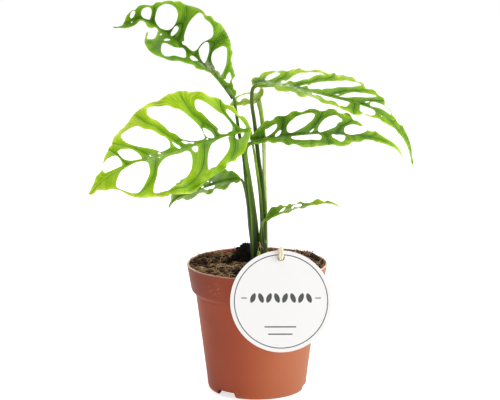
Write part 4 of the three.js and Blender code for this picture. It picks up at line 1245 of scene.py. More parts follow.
          -112, 283, -105, 389, -39, 380, 2, 341, 12, 230, 13, 174, 36, 145, 19, 37, 33, 7, 31, -5, 22],
        holes=[[85, -38, 104, -24, 219, -51, 246, -47, 255, -28, 284, -26, 307, -47, 302, -69, 288, -83, 246,
          -91, 108, -70]],
        pale=[(3, 3, 6, 0.8), (10, -6, 6, 0.6)]
    )]


# ---------------- stems


@dataclass
class Stalk:
    """One leaf stalk, from the potting mix up to its leaf, with its sheath and the scar above it.

    The swollen joint under the leaf has a distance from the leaf, a length and a strength, and the
    channel along the stalk a place in radians, a width and a depth.
    """

    path: Sequence[Point]
    radii: tuple[float, float]
    tone: Sequence[float]
    sheath: tuple[float, float] = (104.0, 0.0)
    scar: float = 0.0
    joint: tuple[float, float, float] = (4.0, 3.4, 0.16)
    channel: tuple[float, float, float] = (1.6, 0.45, 0.16)
    sides: int = 18
    step: float = 1.2

    def make(self) -> tuple[Shell, np.ndarray]:
        """Sweeps the stalk, with its channel and the swollen joint under its leaf.

        Returns:
            The corners and faces, and the marks at each corner.
        """
        path = SmoothPath(self.path)
        distance = np.linspace(0, path.length, int(path.length / self.step))
        share = distance / path.length
        middle = path.at(distance)
        height = middle[:, 2]
        below, long, swell = self.joint
        joint = np.exp(-((path.length - distance - below) / long) ** 2)
        scar = np.exp(-((height - self.scar) / 1.3) ** 2)
        radius = self.radii[0] + (self.radii[1] - self.radii[0]) * share
        radius = radius * (1 + swell * joint) * (1 + 0.015 * np.sin(distance / 5.3 + self.tone[0] * 9))
        radius = radius + self.sheath[1] * smoothstep(self.sheath[0], self.sheath[0] - 22, height) + 0.18 * scar
        angles = np.linspace(0, math.tau, self.sides, endpoint=False)
        turn, wide, deep = self.channel
        outline = 1 - deep * np.exp(-((angles - turn) / wide) ** 2) + 0.02 * np.cos(5 * angles)
        tone = np.interp(share, np.linspace(0, 1, len(self.tone)), self.tone)
        marks = np.stack([tone, smoothstep(150, 108, height), np.maximum(0.6 * joint, scar),
                          np.ones_like(share)], -1)
        ends = [[0, 0, 0, 1]] * 2
        return bar(middle, radius, self.sides, outline), np.vstack([np.repeat(marks, self.sides, axis=0), ends])


@dataclass
class LeafyStem:
    """A leafy stem's stalks, which stand together in the potting mix."""

    name: str
    slot: str
    finish: StalkFinish
    stalks: Sequence[Stalk]

    def build(self) -> Piece:
        """Makes the stem.

        Returns:
            The stem, which stands for its CAD node.
        """
        made = [stalk.make() for stalk in self.stalks]
        piece = mesh_piece(self.name, joined([shell for shell, _ in made]), self.finish)
        set_marks(piece, "stalk_marks", np.vstack([marks for _, marks in made]))
        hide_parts(self.name)
        return piece


def leafy_stems() -> list[LeafyStem]:
    """Lists the stems and the young shoot with their sizes.

    Returns:
        The stems, not yet built.
    """
    dark = StalkFinish("stem_green", (24, 44, 5), (64, 94, 12), (112, 156, 30), (180, 204, 90))
    fresh = StalkFinish("stem_light_green", (28, 48, 6), (76, 106, 14), (134, 168, 30), (206, 220, 156))
    shoot = StalkFinish("shoot_green", (90, 130, 16), (140, 184, 28), (176, 206, 56), (196, 218, 100))
    return [
        LeafyStem("stem_left", "stem_green", dark, [
            Stalk([(-2.8, 3, 92), (-2.8, 3, 123.5), (-5.3, 4, 146), (-9.1, 6, 178), (-11.5, 7, 201.5),
                   (-15, 7, 219.5), (-17.5, 6, 237.5), (-18.7, 6, 246.3), (-19.3, 5.6, 249.8), (-20.6, 4.4, 253),
                   (-22.4, 3.4, 256.2), (-25.5, 4.6, 260)], (2.2, 1.2), (0.3, 0.3, 0.35, 0.15, 0.4), (160, 0.3)),
            Stalk([(-1.2, 1.4, 92), (-0.9, 1, 124), (-1.1, 0.2, 141), (-2.2, 0, 153), (-4.1, 1, 167.5),
                   (-6.8, 3, 184.5), (-8.8, 4, 196), (-9.7, 4, 204), (-9.2, 3.8, 208.6), (-7.8, 3.2, 211.2),
                   (-5.5, 2.2, 212.7), (-2.2, 1.2, 213.7), (1.6, 1, 214.4), (6, 2, 215.6), (10, 3.4, 217)],
                  (1.9, 1.6), (0.1, 0.15, 0.3, 0.6, 0.45), (160, 0.5)),
            Stalk([(-3.6, 4, 92), (-4.4, 4, 123.5), (-6.5, 6, 141.5), (-8, 8, 158.5), (-10.5, 9, 173),
                   (-12, 9, 178), (-13.7, 9, 180.8)], (1.6, 1.0), (0.5, 0.4)),
            Stalk([(-1.9, 2.2, 92), (-2.2, 1.6, 124), (-3.6, 1.2, 141), (-4.7, 1.7, 153), (-6.4, 2.4, 167),
                   (-8.4, 3.6, 184)], (2.5, 0.4), (0.5, 0.72, 0.8), (150, 0.3)),
            Stalk([(1.2, 2.4, 92), (1.5, 1.2, 118), (1.2, 0.2, 132), (0, 0.2, 147)], (2.1, 0.4), (0.1, 0.3))]),
        LeafyStem("stem_right", "stem_light_green", fresh, [
            Stalk([(4.7, 2.2, 92), (4.5, 2, 124), (4.1, 1, 145), (2.9, 0.6, 165), (1.8, 1, 176), (-0.2, 3, 190),
                   (-2.2, 6.6, 203), (-3.6, 8, 211), (-4.8, 6.5, 218), (-5.6, 2, 223), (-6, -1.2, 224.8)],
                  (1.9, 0.9), (0.1, 0.15, 0.3, 0.74, 0.6), (150, 0.4)),
            Stalk([(5.6, 4, 92), (6, 4, 123.5), (6, 6, 153), (3.6, 9.5, 180.5), (1.6, 11.5, 195),
                   (-0.1, 13, 210),
                   (-2.5, 13.6, 231.5), (-4, 13.8, 241), (-4.6, 13.6, 248.1), (-4.4, 13, 253.4),
                   (-4.1, 11.4, 256.6),
                   (-3, 9, 259.3), (-1, 7, 261.1), (1.3, 6.2, 262.1), (4.5, 6.4, 262), (8.3, 8, 261.4),
                   (13, 11, 261)], (2.4, 1.4), (0.3, 0.25, 0.15, 0.2, 0.45), (150, 0.2), 127.5),
            Stalk([(-4.3, 12.4, 254.6), (-4, 11.2, 257), (-2.8, 9, 259.7), (-0.8, 7.2, 261.5), (1.6, 6.6, 262.3),
                   (4.4, 7.2, 262.2), (8, 9, 261.6)], (1.5, 2.1), (0.3, 0.55)),
            Stalk([(6.8, 4.6, 92), (7.5, 5, 123), (7.1, 7.5, 152.5), (6.5, 11.5, 180), (6.3, 13.6, 197),
                   (5.5, 15.8, 218.5), (4, 16.8, 233), (2.5, 17, 242), (1.2, 16.8, 247.6)],
                  (1.7, 1.9), (0.35, 0.5, 0.55, 0.85, 1.1, 0.75, 0.66), (126, -0.35), 127.5),
            Stalk([(5, 1.6, 92), (4.6, 0.8, 112), (4, 0, 124.5), (3, -1.5, 132), (3.5, -3, 141), (5.5, -4, 147),
                   (7.7, -4, 148.9)], (2.0, 0.9), (0.1, 0.22, 0.5))]),
        LeafyStem("new_shoot", "shoot_green", shoot, [
            Stalk([(1.0, -3.6, 92), (0.9, -3.8, 105), (1.2, -4, 114), (1.4, -4.3, 120.6)], (2.0, 1.0),
                  (0.7, 1.0))]),
    ]


# ---------------- pot and potting mix


@dataclass
class NurseryPot:
    """The tapering plastic pot with its rim band, foot notches and drain holes."""

    height: float = 110.0
    rim: float = 60.0
    band_foot: tuple[float, float] = (56.1, 87.6)
    shoulder: tuple[float, float] = (52.2, 83.0)
    foot: float = 42.7
    base: float = 40.0
    wall: float = 1.4
    floor: float = 4.5
    pad: float = 17.0
    corner: float = 1.1
    segments: int = 160
    wobble: float = 0.25
    notches: tuple[float, ...] = (-130, -10, 110)
    notch_size: tuple[float, float] = (20.0, 5.0)
    drains: tuple[float, ...] = (30, 90, 150, 210, 270, 330)
    drain_place: float = 28.0
    drain_size: float = 4.0
    crease: float = 35.0

    def build(self) -> Piece:
        """Makes the pot.

        Returns:
            The pot, which stands for its CAD node.
        """
        shoulder, shoulder_z = self.shoulder
        band_foot, band_z = self.band_foot
        inner_floor = self.floor + self.wall
        outside = [(0, 0), (self.pad, 0), (self.pad + 1.6, self.floor), (self.base - 2.4, self.floor),
                   (self.base - 1.6, 0), (self.base, 0), (self.base + 1.7, 1.4), (self.foot - 0.3, 4.5),
                   (self.foot, 8), (shoulder, shoulder_z), (shoulder + 0.5, shoulder_z + 1.2),
                   (band_foot - 0.6, band_z - 0.7), (band_foot, band_z + 0.6),
                   (self.rim - 0.5, self.height - 2.6),
                   (self.rim, self.height - 1.6), (self.rim - 0.3, self.height - 0.4),
                   (self.rim - 1, self.height)]
        inside = [(self.rim - 1.9, self.height - 0.3), (band_foot - self.wall, band_z + 1),
                  (shoulder - self.wall, shoulder_z), (self.foot - self.wall, 9),
                  (self.foot - self.wall - 1.6, inner_floor), (self.pad + 0.6, inner_floor),
                  (self.pad - 1, self.wall), (0, self.wall)]
        profile = rounded([*outside, *inside], self.corner, 3)
        pot = mesh_piece("pot", turned_profile(profile, self.segments, self.wobble), PotFinish(), 40.0)
        for angle in self.notches:
            self.cut(pot, self.notch_block(math.radians(angle)))
        for angle in self.drains:
            self.cut(pot, self.drain_plug(math.radians(angle)))
        pot.data.shade_smooth()
        pot.data.set_sharp_from_angle(angle=math.radians(self.crease))
        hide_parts("pot")
        return pot

    def notch_block(self, turn: float) -> Shell:
        """Makes the block that cuts one notch of the foot, and that narrows upwards.

        Args:
            turn: The notch's direction, in radians.

        Returns:
            The corners and the faces.
        """
        wide, high = self.notch_size
        near, far, cos, sin = self.base - 3, self.base + 7, math.cos(turn), math.sin(turn)
        corners = []
        for z, half in ((-2.0, wide / 2 + 0.8), (high, wide / 2 - 0.8)):
            for r, side in ((near, -half), (far, -half), (far, half), (near, half)):
                corners.append((r * cos - side * sin, r * sin + side * cos, z))
        return np.array(corners), [(3, 2, 1, 0), (4, 5, 6, 7), *band(0, 4, 4)]

    def drain_plug(self, turn: float) -> Shell:
        """Makes the plug that cuts one drain hole, from the hole's direction in radians."""
        corners, faces = turned_profile([(0, 2), (self.drain_size, 2), (self.drain_size, 9), (0, 9)], 24)
        return corners + self.drain_place * np.array([math.cos(turn), math.sin(turn), 0]), faces

    def cut(self, pot: Piece, block: Shell) -> None:
        """Cuts a block out of the pot.

        Args:
            pot: The pot, whose mesh is changed.
            block: The block's corners and faces.
        """
        cutter = plain_object("cutter", block)
        cutter.data.materials.append(pot.data.materials[0])
        step = pot.modifiers.new("cut", "BOOLEAN")
        step.operation, step.object, step.solver = "DIFFERENCE", cutter, "EXACT"
        made = baked_mesh(pot)
        pot.modifiers.clear()
        old, pot.data = pot.data, made
        made.name = pot.name
        bpy.data.meshes.remove(old)
        bpy.data.objects.remove(cutter)


@dataclass
class PottingMix:
    """The potting mix: a rough dark ground, loose crumbs and curly coir fibres.

    The bank's heights stand round the wall, one every 30 degrees. The heap has a place, a height, a
    width and a depth, and each near-black patch a place, a width and a depth. The patches are mostly
    painted shade, and on the heap partly its own dark peat.
    """

    level: float = 105.4
    bank: Sequence[float] = (2.8, 5.6, 1.8, -0.8, 0.0, 2.0, 3.6, 2.4, 0.8, -0.4, 0.4, 1.8)
    heap: tuple[float, ...] = (-8.0, 25.0, 15.0, 11.5, 12.0)
    # The near-black patches: mostly painted shade, and on the heap partly its own dark peat.
    shade_and_peat_patches: Sequence[tuple[float, ...]] = ((-9, 26, 13, 14), (-5, 10, 10, 12), (-15, -27, 8, 14),
                                            (-38, 23, 7, 6), (-26, 9, 6, 5), (42, 12, 3, 3), (-47, -3, 4, 6))
    edge: float = 57.2
    crumbs: float = 260000.0
    fibres: float = 130000.0
    seed: int = 4

    def top(self, x: np.ndarray, y: np.ndarray) -> np.ndarray:
        """Gives the height of the ground.

        Args:
            x: Places across the pot, in millimetres.
            y: Places from front to back.

        Returns:
            The heights, in millimetres.
        """
        part = np.hypot(x, y) / self.edge
        hx, hy, high, wide, deep = self.heap
        heap = high * np.exp(-(((x - hx) / wide) ** 2 + ((y - hy) / deep) ** 2) ** 2)
        rough = sum(a * np.sin(x * f + p) * np.sin(y * f * 1.1 + 2 * p)
                    for a, f, p in ((0.9, 0.21, 0.4), (0.6, 0.47, 1.9), (0.4, 0.93, 4.0), (0.25, 1.9, 2.2)))
        bank = np.interp(np.degrees(np.arctan2(y, x)), np.arange(0, 360, 30), self.bank, period=360)
        bank = bank * smoothstep(0.45, 1.0, part)
        return self.level + bank + heap * (1 - part**6) + rough * smoothstep(1.0, 0.9, part) * (1 + heap / high)

    def darkness(self, corners: np.ndarray) -> np.ndarray:
        """Tells how bare and dark the mix is, in the near-black patches that are mostly painted shade.

        Args:
            corners: Places on it, in millimetres.

        Returns:
            A number from 0 to 1 for each place.
        """
        found = np.zeros(len(corners))
        for x, y, wide, deep in self.shade_and_peat_patches:
            away = ((corners[:, 0] - x) / wide) ** 2 + ((corners[:, 1] - y) / deep) ** 2
            found = np.maximum(found, np.exp(-away**3))
        return found

    def darken(self, piece: Piece, corners: np.ndarray) -> None:
        """Marks how dark a piece of the mix is at each of its corners."""
        set_marks(piece, "mix_marks", np.repeat(self.darkness(corners)[:, None], 4, axis=1))

    def ground(self) -> Piece:
        """Makes the solid ground that fills the pot.

        Returns:
            The ground, which stands for its CAD node.
        """
        below = [(0, 1.7), (15, 1.7), (17.4, 6.2), (38.6, 6.2), (40.6, 10), (50.3, 83.4), (54.0, 89.6)]
        rings = [(self.edge * part, self.level) for part in np.linspace(1, 0, 56)]
        corners, faces = turned_profile([*below, *rings], 150)
        top = corners[:, 2] > self.level - 0.1
        corners[top, 2] = self.top(corners[top, 0], corners[top, 1])
        piece = mesh_piece("soil", (corners, faces), MixFinish("potting_mix", (10, 8, 7), (60, 44, 32), 0.3),
                           180)
        self.darken(piece, corners)
        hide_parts("soil")
        return piece

    def patch(self) -> Piece:
        """Makes the sheet over which the crumbs and fibres are strewn.

        Returns:
            The sheet, which holds how bare it is at each corner.
        """
        rings = [(self.edge * part, self.level) for part in np.linspace(0.985, 0, 40)]
        corners, faces = turned_profile(rings, 90)
        corners[:, 2] = self.top(corners[:, 0], corners[:, 1]) + 0.1
        patch = plain_object("ground_patch", (corners, faces))
        bare = patch.data.attributes.new("bare", "FLOAT", "POINT")
        bare.data.foreach_set("value", self.darkness(corners).astype(np.float32))
        return patch

    def strew(self, name: str, tree: bpy.types.NodeTree, finish: MixFinish, **values: object) -> Piece:
        """Strews small pieces over the ground with a Geometry Nodes tree.

        Args:
            name: The piece's name.
            tree: The tree that strews them.
            finish: Their finish.
            values: The tree's inputs, by name.

        Returns:
            One plain mesh that holds them all.
        """
        patch = self.patch()
        modifier = patch.modifiers.new(name, "NODES")
        modifier.node_group = tree
        sockets = {item.name: item.identifier for item in tree.interface.items_tree if item.in_out == "INPUT"}
        for key, value in {**values, "Material": finish.make()}.items():
            modifier[sockets[key]] = value
        mesh = baked_mesh(patch)
        bpy.data.objects.remove(patch)
        mesh.name = name
        corners = self.keep_inside(mesh)
        piece = bpy.data.objects.new(name, mesh)
        bpy.context.scene.collection.objects.link(piece)
        self.darken(piece, corners)
        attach(piece, BODY)
        return piece

    def keep_inside(self, mesh: bpy.types.Mesh) -> np.ndarray:
        """Draws what pokes through the pot's wall back inside it.

        Args:
            mesh: The mesh, which is changed.

        Returns:
            Its corners, in millimetres.
        """
        corners = np.empty(len(mesh.vertices) * 3)
        mesh.vertices.foreach_get("co", corners)
        corners = corners.reshape(-1, 3) / MM
        away = np.hypot(corners[:, 0], corners[:, 1])
        limit = np.where(corners[:, 2] < 110.3, 54.6 + 0.161 * (corners[:, 2] - 88.6), 59.0)
        corners[:, :2] *= np.minimum(1, limit / np.maximum(away, 1))[:, None]
        mesh.vertices.foreach_set("co", (corners * MM).ravel())
        return corners

    def stray_fibres(self) -> Piece:
        """Makes the few dry fibres that lie against the stems.

        Returns:
            One piece that holds them all.
        """
        paths = [[(1.6, -3, 128.4), (2.3, -3.4, 127.6), (3.3, -3.4, 125), (4, -3.2, 124.2), (5.6, -3, 122.6)],
                 [(2.4, -3.2, 127.4), (3, -3.4, 124.4), (3.2, -3.2, 121), (2.4, -3, 114)],
                 [(2.4, -2.4, 126), (0.9, -2.8, 120), (2, -2.6, 112)]]
        lines = [SmoothPath(path).spaced(0.4) for path in paths]
        shell = joined([bar(line, np.linspace(0.3, 0.16, len(line)), 6) for line in lines])
        piece = mesh_piece("stray_fibres", shell, MixFinish("dry_fibre", (120, 92, 50), (226, 204, 156), 0.6,
                                                            120.0))
        set_marks(piece, "mix_marks", np.zeros((len(shell[0]), 4)))
        return piece

    def build(self) -> list[Piece]:
        """Makes the ground, the crumbs and the fibres.

        Returns:
            All their pieces.
        """
        crumb_tree, fibre_tree = crumb_nodes(), fibre_nodes()
        crumbs = MixFinish("crumbs", (16, 14, 13), (74, 52, 34), 0.26, 150.0)
        lumps = MixFinish("lumps", (16, 14, 13), (90, 62, 40), 0.28, 150.0)
        golden = MixFinish("coir_fibre", (176, 142, 100), (246, 226, 190), 0.45, 60.0)
        brown = MixFinish("brown_fibre", (80, 56, 38), (178, 130, 86), 0.45, 60.0)
        return [
            self.ground(),
            self.strew("soil_crumbs", crumb_tree, crumbs, Density=self.crumbs, Size=0.0011, Seed=self.seed),
            self.strew("soil_lumps", crumb_tree, lumps, Density=self.crumbs * 0.12, Size=0.0024,
                       Seed=self.seed + 1),
            self.strew("coir_fibres", fibre_tree, golden,
                       Density=self.fibres * 0.55, Length=0.017, Thickness=0.0002, Seed=self.seed + 2),
            self.strew("brown_fibres", fibre_tree, brown,
                       Density=self.fibres * 0.8, Length=0.014, Thickness=0.00023, Seed=self.seed + 3),
            self.stray_fibres(),
        ]


class Nodes(Wiring):
    """Builds one Geometry Nodes tree with named inputs."""

    def __init__(self, name: str, **inputs: str) -> None:
        """Starts the tree, which always takes a sheet, a seed and a material.

        Args:
            name: The tree's name.
            inputs: The socket type of each other input, by its name.
        """
        super().__init__(bpy.data.node_groups.new(name, "GeometryNodeTree"))
        for label, kind in {"Geometry": "Geometry", **inputs, "Seed": "Int", "Material": "Material"}.items():
            self.tree.interface.new_socket(label, in_out="INPUT", socket_type="NodeSocket" + kind)
        self.tree.interface.new_socket("Geometry", in_out="OUTPUT", socket_type="NodeSocketGeometry")
        self.given = self.tree.nodes.new("NodeGroupInput").outputs
        self.result = self.tree.nodes.new("NodeGroupOutput")

    def chance(self, low: object, high: object, seed: int, kind: str = "FLOAT_VECTOR") -> Socket:
        """Draws a random value for each point.

        Args:
            low: The least value.
            high: The greatest value.
            seed: The draw's own seed.
            kind: FLOAT or FLOAT_VECTOR.

        Returns:
            The value's socket.
        """
        low_input, output = (0, 0) if kind == "FLOAT_VECTOR" else (2, 1)
        return self.add("FunctionNodeRandomValue", {low_input: low, low_input + 1: high, "Seed": seed},
                        data_type=kind).outputs[output]

    def scaled(self, vector: Socket, scale: object) -> Socket:
        """Makes a vector longer or shorter."""
        return self.add("ShaderNodeVectorMath", {0: vector, "Scale": scale}, operation="SCALE").outputs[0]

    def strewn(self, density: object, piece: Socket, scale: Socket,
               turn: Socket) -> Socket:
        """Strews copies of a piece over the given sheet.

        Args:
            density: How many there are to the square metre.
            piece: The piece's socket.
            scale: Each copy's scale.
            turn: Each copy's turn, in radians about each axis.

        Returns:
            The realized copies.
        """
        points = self.add("GeometryNodeDistributePointsOnFaces", {
            "Mesh": self.given["Geometry"], "Density": density, "Seed": self.given["Seed"]})
        placed = self.add("GeometryNodeInstanceOnPoints", {
            "Points": points.outputs[0], "Instance": piece, "Scale": scale, "Rotation": turn})
        return self.add("GeometryNodeRealizeInstances", {0: placed.outputs[0]}).outputs[0]

    def crumpled(self, geometry: Socket, scale: float, detail: float, centre: Point,
                 reach: float) -> Socket:
        """Shifts every corner by a cloudy pattern.

        Args:
            geometry: What is shifted.
            scale: How fine the pattern is.
            detail: How many finer layers it has.
            centre: The pattern's value that shifts nothing.
            reach: How far a full step of the pattern shifts, in metres.

        Returns:
            The shifted geometry.
        """
        pattern = self.add("ShaderNodeTexNoise", {"Scale": scale, "Detail": detail}).outputs["Color"]
        centred = self.add("ShaderNodeVectorMath", {0: pattern, 1: centre}, operation="SUBTRACT").outputs[0]
        shift = self.scaled(centred, reach)
        return self.add("GeometryNodeSetPosition", {"Geometry": geometry, "Offset": shift}).outputs[0]

    def end(self, geometry: Socket) -> bpy.types.NodeTree:
        """Realizes the instances, sets their material and ends the tree.

        Args:
            geometry: What the tree has made.

        Returns:
            The finished tree.
        """
        real = self.add("GeometryNodeRealizeInstances", {0: geometry})
        done = self.add("GeometryNodeSetMaterial", {"Geometry": real.outputs[0],
                                                    "Material": self.given["Material"]})
        self.feed(self.result.inputs[0], done.outputs[0])
        return self.tree


def crumb_nodes() -> bpy.types.NodeTree:
    """Makes the tree that strews uneven crumbs over a sheet.

    Returns:
        The tree, with inputs Density, Size, Seed and Material.
    """
    nodes = Nodes("strewn_crumbs", Density="Float", Size="Float")
    ball = nodes.add("GeometryNodeMeshIcoSphere", {"Radius": nodes.given["Size"], "Subdivisions": 1}).outputs[0]
    scale = nodes.scaled(nodes.chance((0.5, 0.5, 0.4), (1.4, 1.2, 0.9), 5), nodes.chance(0.4, 1.5, 3, "FLOAT"))
    turn = nodes.chance((0, 0, 0), (6.28, 6.28, 6.28), 7)
    crumbs = nodes.strewn(nodes.given["Density"], ball, scale, turn)
    return nodes.end(nodes.crumpled(crumbs, 900.0, 2.0, (0.5, 0.5, 0.5), 0.0018))


def fibre_nodes() -> bpy.types.NodeTree:
    """Makes the tree that strews curly fibres over a sheet, in tufts and away from its bare places.

    Returns:
        The tree, with inputs Density, Length, Thickness, Seed and Material.
    """
    nodes = Nodes("strewn_fibres", Density="Float", Length="Float", Thickness="Float")
    named = nodes.add("GeometryNodeInputNamedAttribute", {"Name": "bare"}, data_type="FLOAT")
    tufts = Amount(nodes, nodes.add("ShaderNodeTexNoise", {"Scale": 70.0, "Detail": 2.0}).outputs[0])
    covered = Amount(nodes, named.outputs[0]) * -1.0 + 1.0
    density = covered * tufts.span(0.38, 0.62, 0.15, 1.6) * nodes.given["Density"]
    strand = nodes.add("GeometryNodeCurveQuadraticBezier", {
        "Resolution": 12, "Start": (-0.5, 0, 0), "Middle": (0.0, 0.6, 0.12), "End": (0.5, -0.1, 0.02)})
    length = Amount(nodes, nodes.chance(0.45, 1.35, 11, "FLOAT")) * nodes.given["Length"]
    scale = nodes.scaled(nodes.chance((0.8, -1.3, -0.5), (1.1, 1.3, 1.6), 12), length)
    turn = nodes.chance((-0.35, -0.35, 0), (0.35, 0.35, 6.28), 13)
    fibres = nodes.strewn(density, strand.outputs[0], scale, turn)
    curly = nodes.crumpled(fibres, 120.0, 0.0, (0.5, 0.5, 0.42), 0.008)
    section = nodes.add("GeometryNodeCurvePrimitiveCircle", {"Resolution": 3,
                                                             "Radius": nodes.given["Thickness"]})
    solid = nodes.add("GeometryNodeCurveToMesh", {
        "Curve": curly, "Profile Curve": section.outputs[0], "Fill Caps": True})
    return nodes.end(solid.outputs[0])


# ---------------- tag and string


class Print(Enum):
    """What is printed on the card besides its ring."""

    DASH = "dash"
    SPRIG = "sprig"
    RULE = "rule"


@dataclass
class TagCard:
    """The round card, which leans on the pot's rim, with its plain grey print."""

    radius: float = 42.0
    thickness: float = 0.8
    bevel: float = 0.15
    centre: Point = (19.6, -64.7, 92.2)
    lean: float = 12.0
    hole: tuple[float, float] = (36.4, 3.1)
    ring: tuple[float, float] = (38.1, 38.85)
    print_level: tuple[float, float] = (0.02, 0.05)
    sides: int = 160

    def to_place(self, points: np.ndarray) -> np.ndarray:
        """Moves points from the card's own frame to their place.

        Args:
            points: Across the card, up it and out of its face, in millimetres.

        Returns:
            The points in the shared frame.
        """
        turn = math.radians(90 - self.lean)
        x, y, z = np.asarray(points, float).T
        cos, sin = math.cos(turn), math.sin(turn)
        return np.stack([x, y * cos - z * sin, y * sin + z * cos], -1) + np.array(self.centre)

    def card(self) -> Piece:
        """Makes the card with its slightly rounded edge.

        Returns:
            The card, which stands for its CAD node.
        """
        up, size = self.hole
        rim = circle(self.sides)
        hole = rim[::5] * size + np.array([0, up])
        outer, inner = len(rim), len(hole)
        half, small = self.thickness / 2, self.radius - self.bevel
        profile = ((small, -half), (self.radius, self.bevel - half), (self.radius, half - self.bevel),
                   (small, half))
        corners = np.vstack([*[layers(rim * r, [z]) for r, z in profile], layers(hole, (-half, half))])
        _, triangles = filled([rim * small, hole], np.empty((0, 2)))
        low = np.array([*range(outer), *range(4 * outer, 4 * outer + inner)])
        top = np.array([*range(3 * outer, 4 * outer), *range(4 * outer + inner, len(corners))])
        faces = [*top[triangles], *low[triangles[:, ::-1]]]
        for level in range(3):
            faces += band(level * outer, (level + 1) * outer, outer)
        faces += band(4 * outer + inner, 4 * outer, inner)
        piece = mesh_piece("tag", (self.to_place(corners), faces), CARD, 40)
        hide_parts("tag")
        return piece

    def shape(self, kind: Print, x: float, y: float, size: float, turn: float = 0.0) -> np.ndarray:
        """Draws one printed shape flat.

        Args:
            kind: Which shape.
            x: Its middle across the card.
            y: Its middle up the card.
            size: Its length.
            turn: Its turn in degrees.

        Returns:
            The shape's outline.
        """
        if kind is Print.SPRIG:
            cos, sin = circle(24).T
            outline = np.stack([0.24 * sin * np.abs(sin) ** 0.35, -0.5 * cos], -1) * size
        else:
            thin = 0.4 if kind is Print.DASH else 0.5
            outline = np.array([(-size / 2, -thin), (size / 2, -thin), (size / 2, thin), (-size / 2, thin)])
        cos, sin = math.cos(math.radians(turn)), math.sin(math.radians(turn))
        return outline @ np.array([[cos, sin], [-sin, cos]]) + np.array([x, y])

    def print(self) -> Piece:
        """Makes the printed ring, dashes, leaf shapes and ruled lines as thin skins on the card.

        Returns:
            One piece that holds them all.
        """
        levels = [self.thickness / 2 + rise for rise in self.print_level]
        rim, n = circle(self.sides), self.sides
        loops = band(3 * n, 2 * n, n) + band(0, n, n) + band(n, 3 * n, n) + band(2 * n, 0, n)
        parts = [(layers(np.vstack([rim * r for r in self.ring]), levels), loops)]
        shapes = [self.shape(Print.DASH, x, 2.8, 4.6) for x in (-30.5, 30.5)]
        shapes += [self.shape(Print.SPRIG, -23.1 + 6.6 * k, 2.8, 8.6, 22 if k % 2 else -22) for k in range(8)]
        shapes += [self.shape(Print.RULE, -0.6, y, long) for y, long in ((-21.0, 26.0), (-27.0, 20.0))]
        for outline in shapes:
            count = len(outline)
            ends = [tuple(range(count, 2 * count)), tuple(range(count))[::-1]]
            parts.append((layers(outline, levels), ends + band(0, count, count)))
        corners, faces = joined(parts)
        piece = mesh_piece("tag_print", (self.to_place(corners), faces), INK)
        return piece

    def build(self) -> list[Piece]:
        """Makes the card and its print."""
        return [self.card(), self.print()]


@dataclass
class TagString:
    """The twine that holds the tag: three plies twisted together, knotted behind the card."""

    tag: TagCard
    radius: float = 1.3
    spread: float = 0.95
    lay: float = 9.0
    plies: int = 3
    hairs: int = 420
    step: float = 0.5
    loop: Sequence[Point] = ((16.6, -34, 124), (12.6, -12, 112), (11.3, 3.5, 109), (7.4, 9.6, 109),
                             (0.5, 9.6, 107.8), (-5.4, 8.4, 106.6), (-7.6, 4, 106.2), (-6, -3.2, 106.2),
                             (0.4, -9.6, 107.2), (8.6, -21, 112.6), (14.6, -38, 125))

    def strand(self, side: int) -> list[Point]:
        """Lists one strand's points from the knot, in front of the card and over its edge.

        Args:
            side: 1 for the strand on the right and -1 for the left one.

        Returns:
            The points in the shared frame.
        """
        up = self.tag.hole[0]
        edge = self.tag.radius - up
        wide = side * self.spread
        points = [(side * 0.6, up, -3.4), (wide * 0.5, up - 0.9, -0.4), (wide * 0.55, up - 1.1, 1.3),
                  (wide, up + 1.6, 2.3), (wide, up + edge * 0.7, 2.2),
                  (wide * 0.6, up + edge + 1.6, 0.9), (wide * 0.6, up + edge + 1.5, -2.6)]
        return [tuple(p) for p in self.tag.to_place(np.array(points))]

    def build(self) -> Piece:
        """Makes the twine, from the knot round the stems and back.

        Returns:
            The twine, which stands for its CAD node.
        """
        path = SmoothPath([*self.strand(1), *self.loop, *self.strand(-1)[::-1]])
        distance = np.linspace(0, path.length, int(path.length / self.step))
        points = path.at(distance)
        ahead = path.heading(distance)
        across, deep = carried_frames(ahead)
        parts = []
        for ply in range(self.plies):
            turn = math.tau * (distance / self.lay + ply / self.plies)
            middle = points + 0.42 * self.radius * (np.cos(turn)[:, None] * across + np.sin(turn)[:, None] * deep)
            parts.append(bar(middle, np.full(len(middle), self.radius * 0.6), 8))
        rng = np.random.default_rng(8)
        for _ in range(self.hairs):
            at = rng.integers(2, len(points) - 3)
            turn = rng.uniform(0, math.tau)
            outward = math.cos(turn) * across[at] + math.sin(turn) * deep[at]
            start = points[at] + outward * self.radius * 0.85
            tip = outward * rng.uniform(0.4, 1.1) + ahead[at] * rng.uniform(-1.2, 1.2)
            hair = np.array([start, start + tip * 0.6 + rng.normal(0, 0.12, 3), start + tip])
            parts.append(bar(hair, np.array([0.06, 0.05, 0.03]), 3))
        parts.append(self.knot())
        piece = mesh_piece("tag_string", joined(parts), TWINE)
        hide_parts("tag_string")
        return piece

    def knot(self) -> Shell:
        """Makes the knot behind the card as one tight overhand turn.

        Returns:
            The corners and the faces.
        """
        t = np.linspace(0, math.tau, 60)
        loop = np.stack([1.7 * np.sin(t) + 0.9 * np.sin(2 * t), 1.7 * np.cos(t) - 0.9 * np.cos(2 * t),
                         0.7 * np.sin(3 * t)], -1)
        placed = self.tag.to_place(loop + np.array([0, self.tag.hole[0], -2.9]))
        return bar(placed, np.full(len(placed), 1.1), 8)


# ---------------- studio


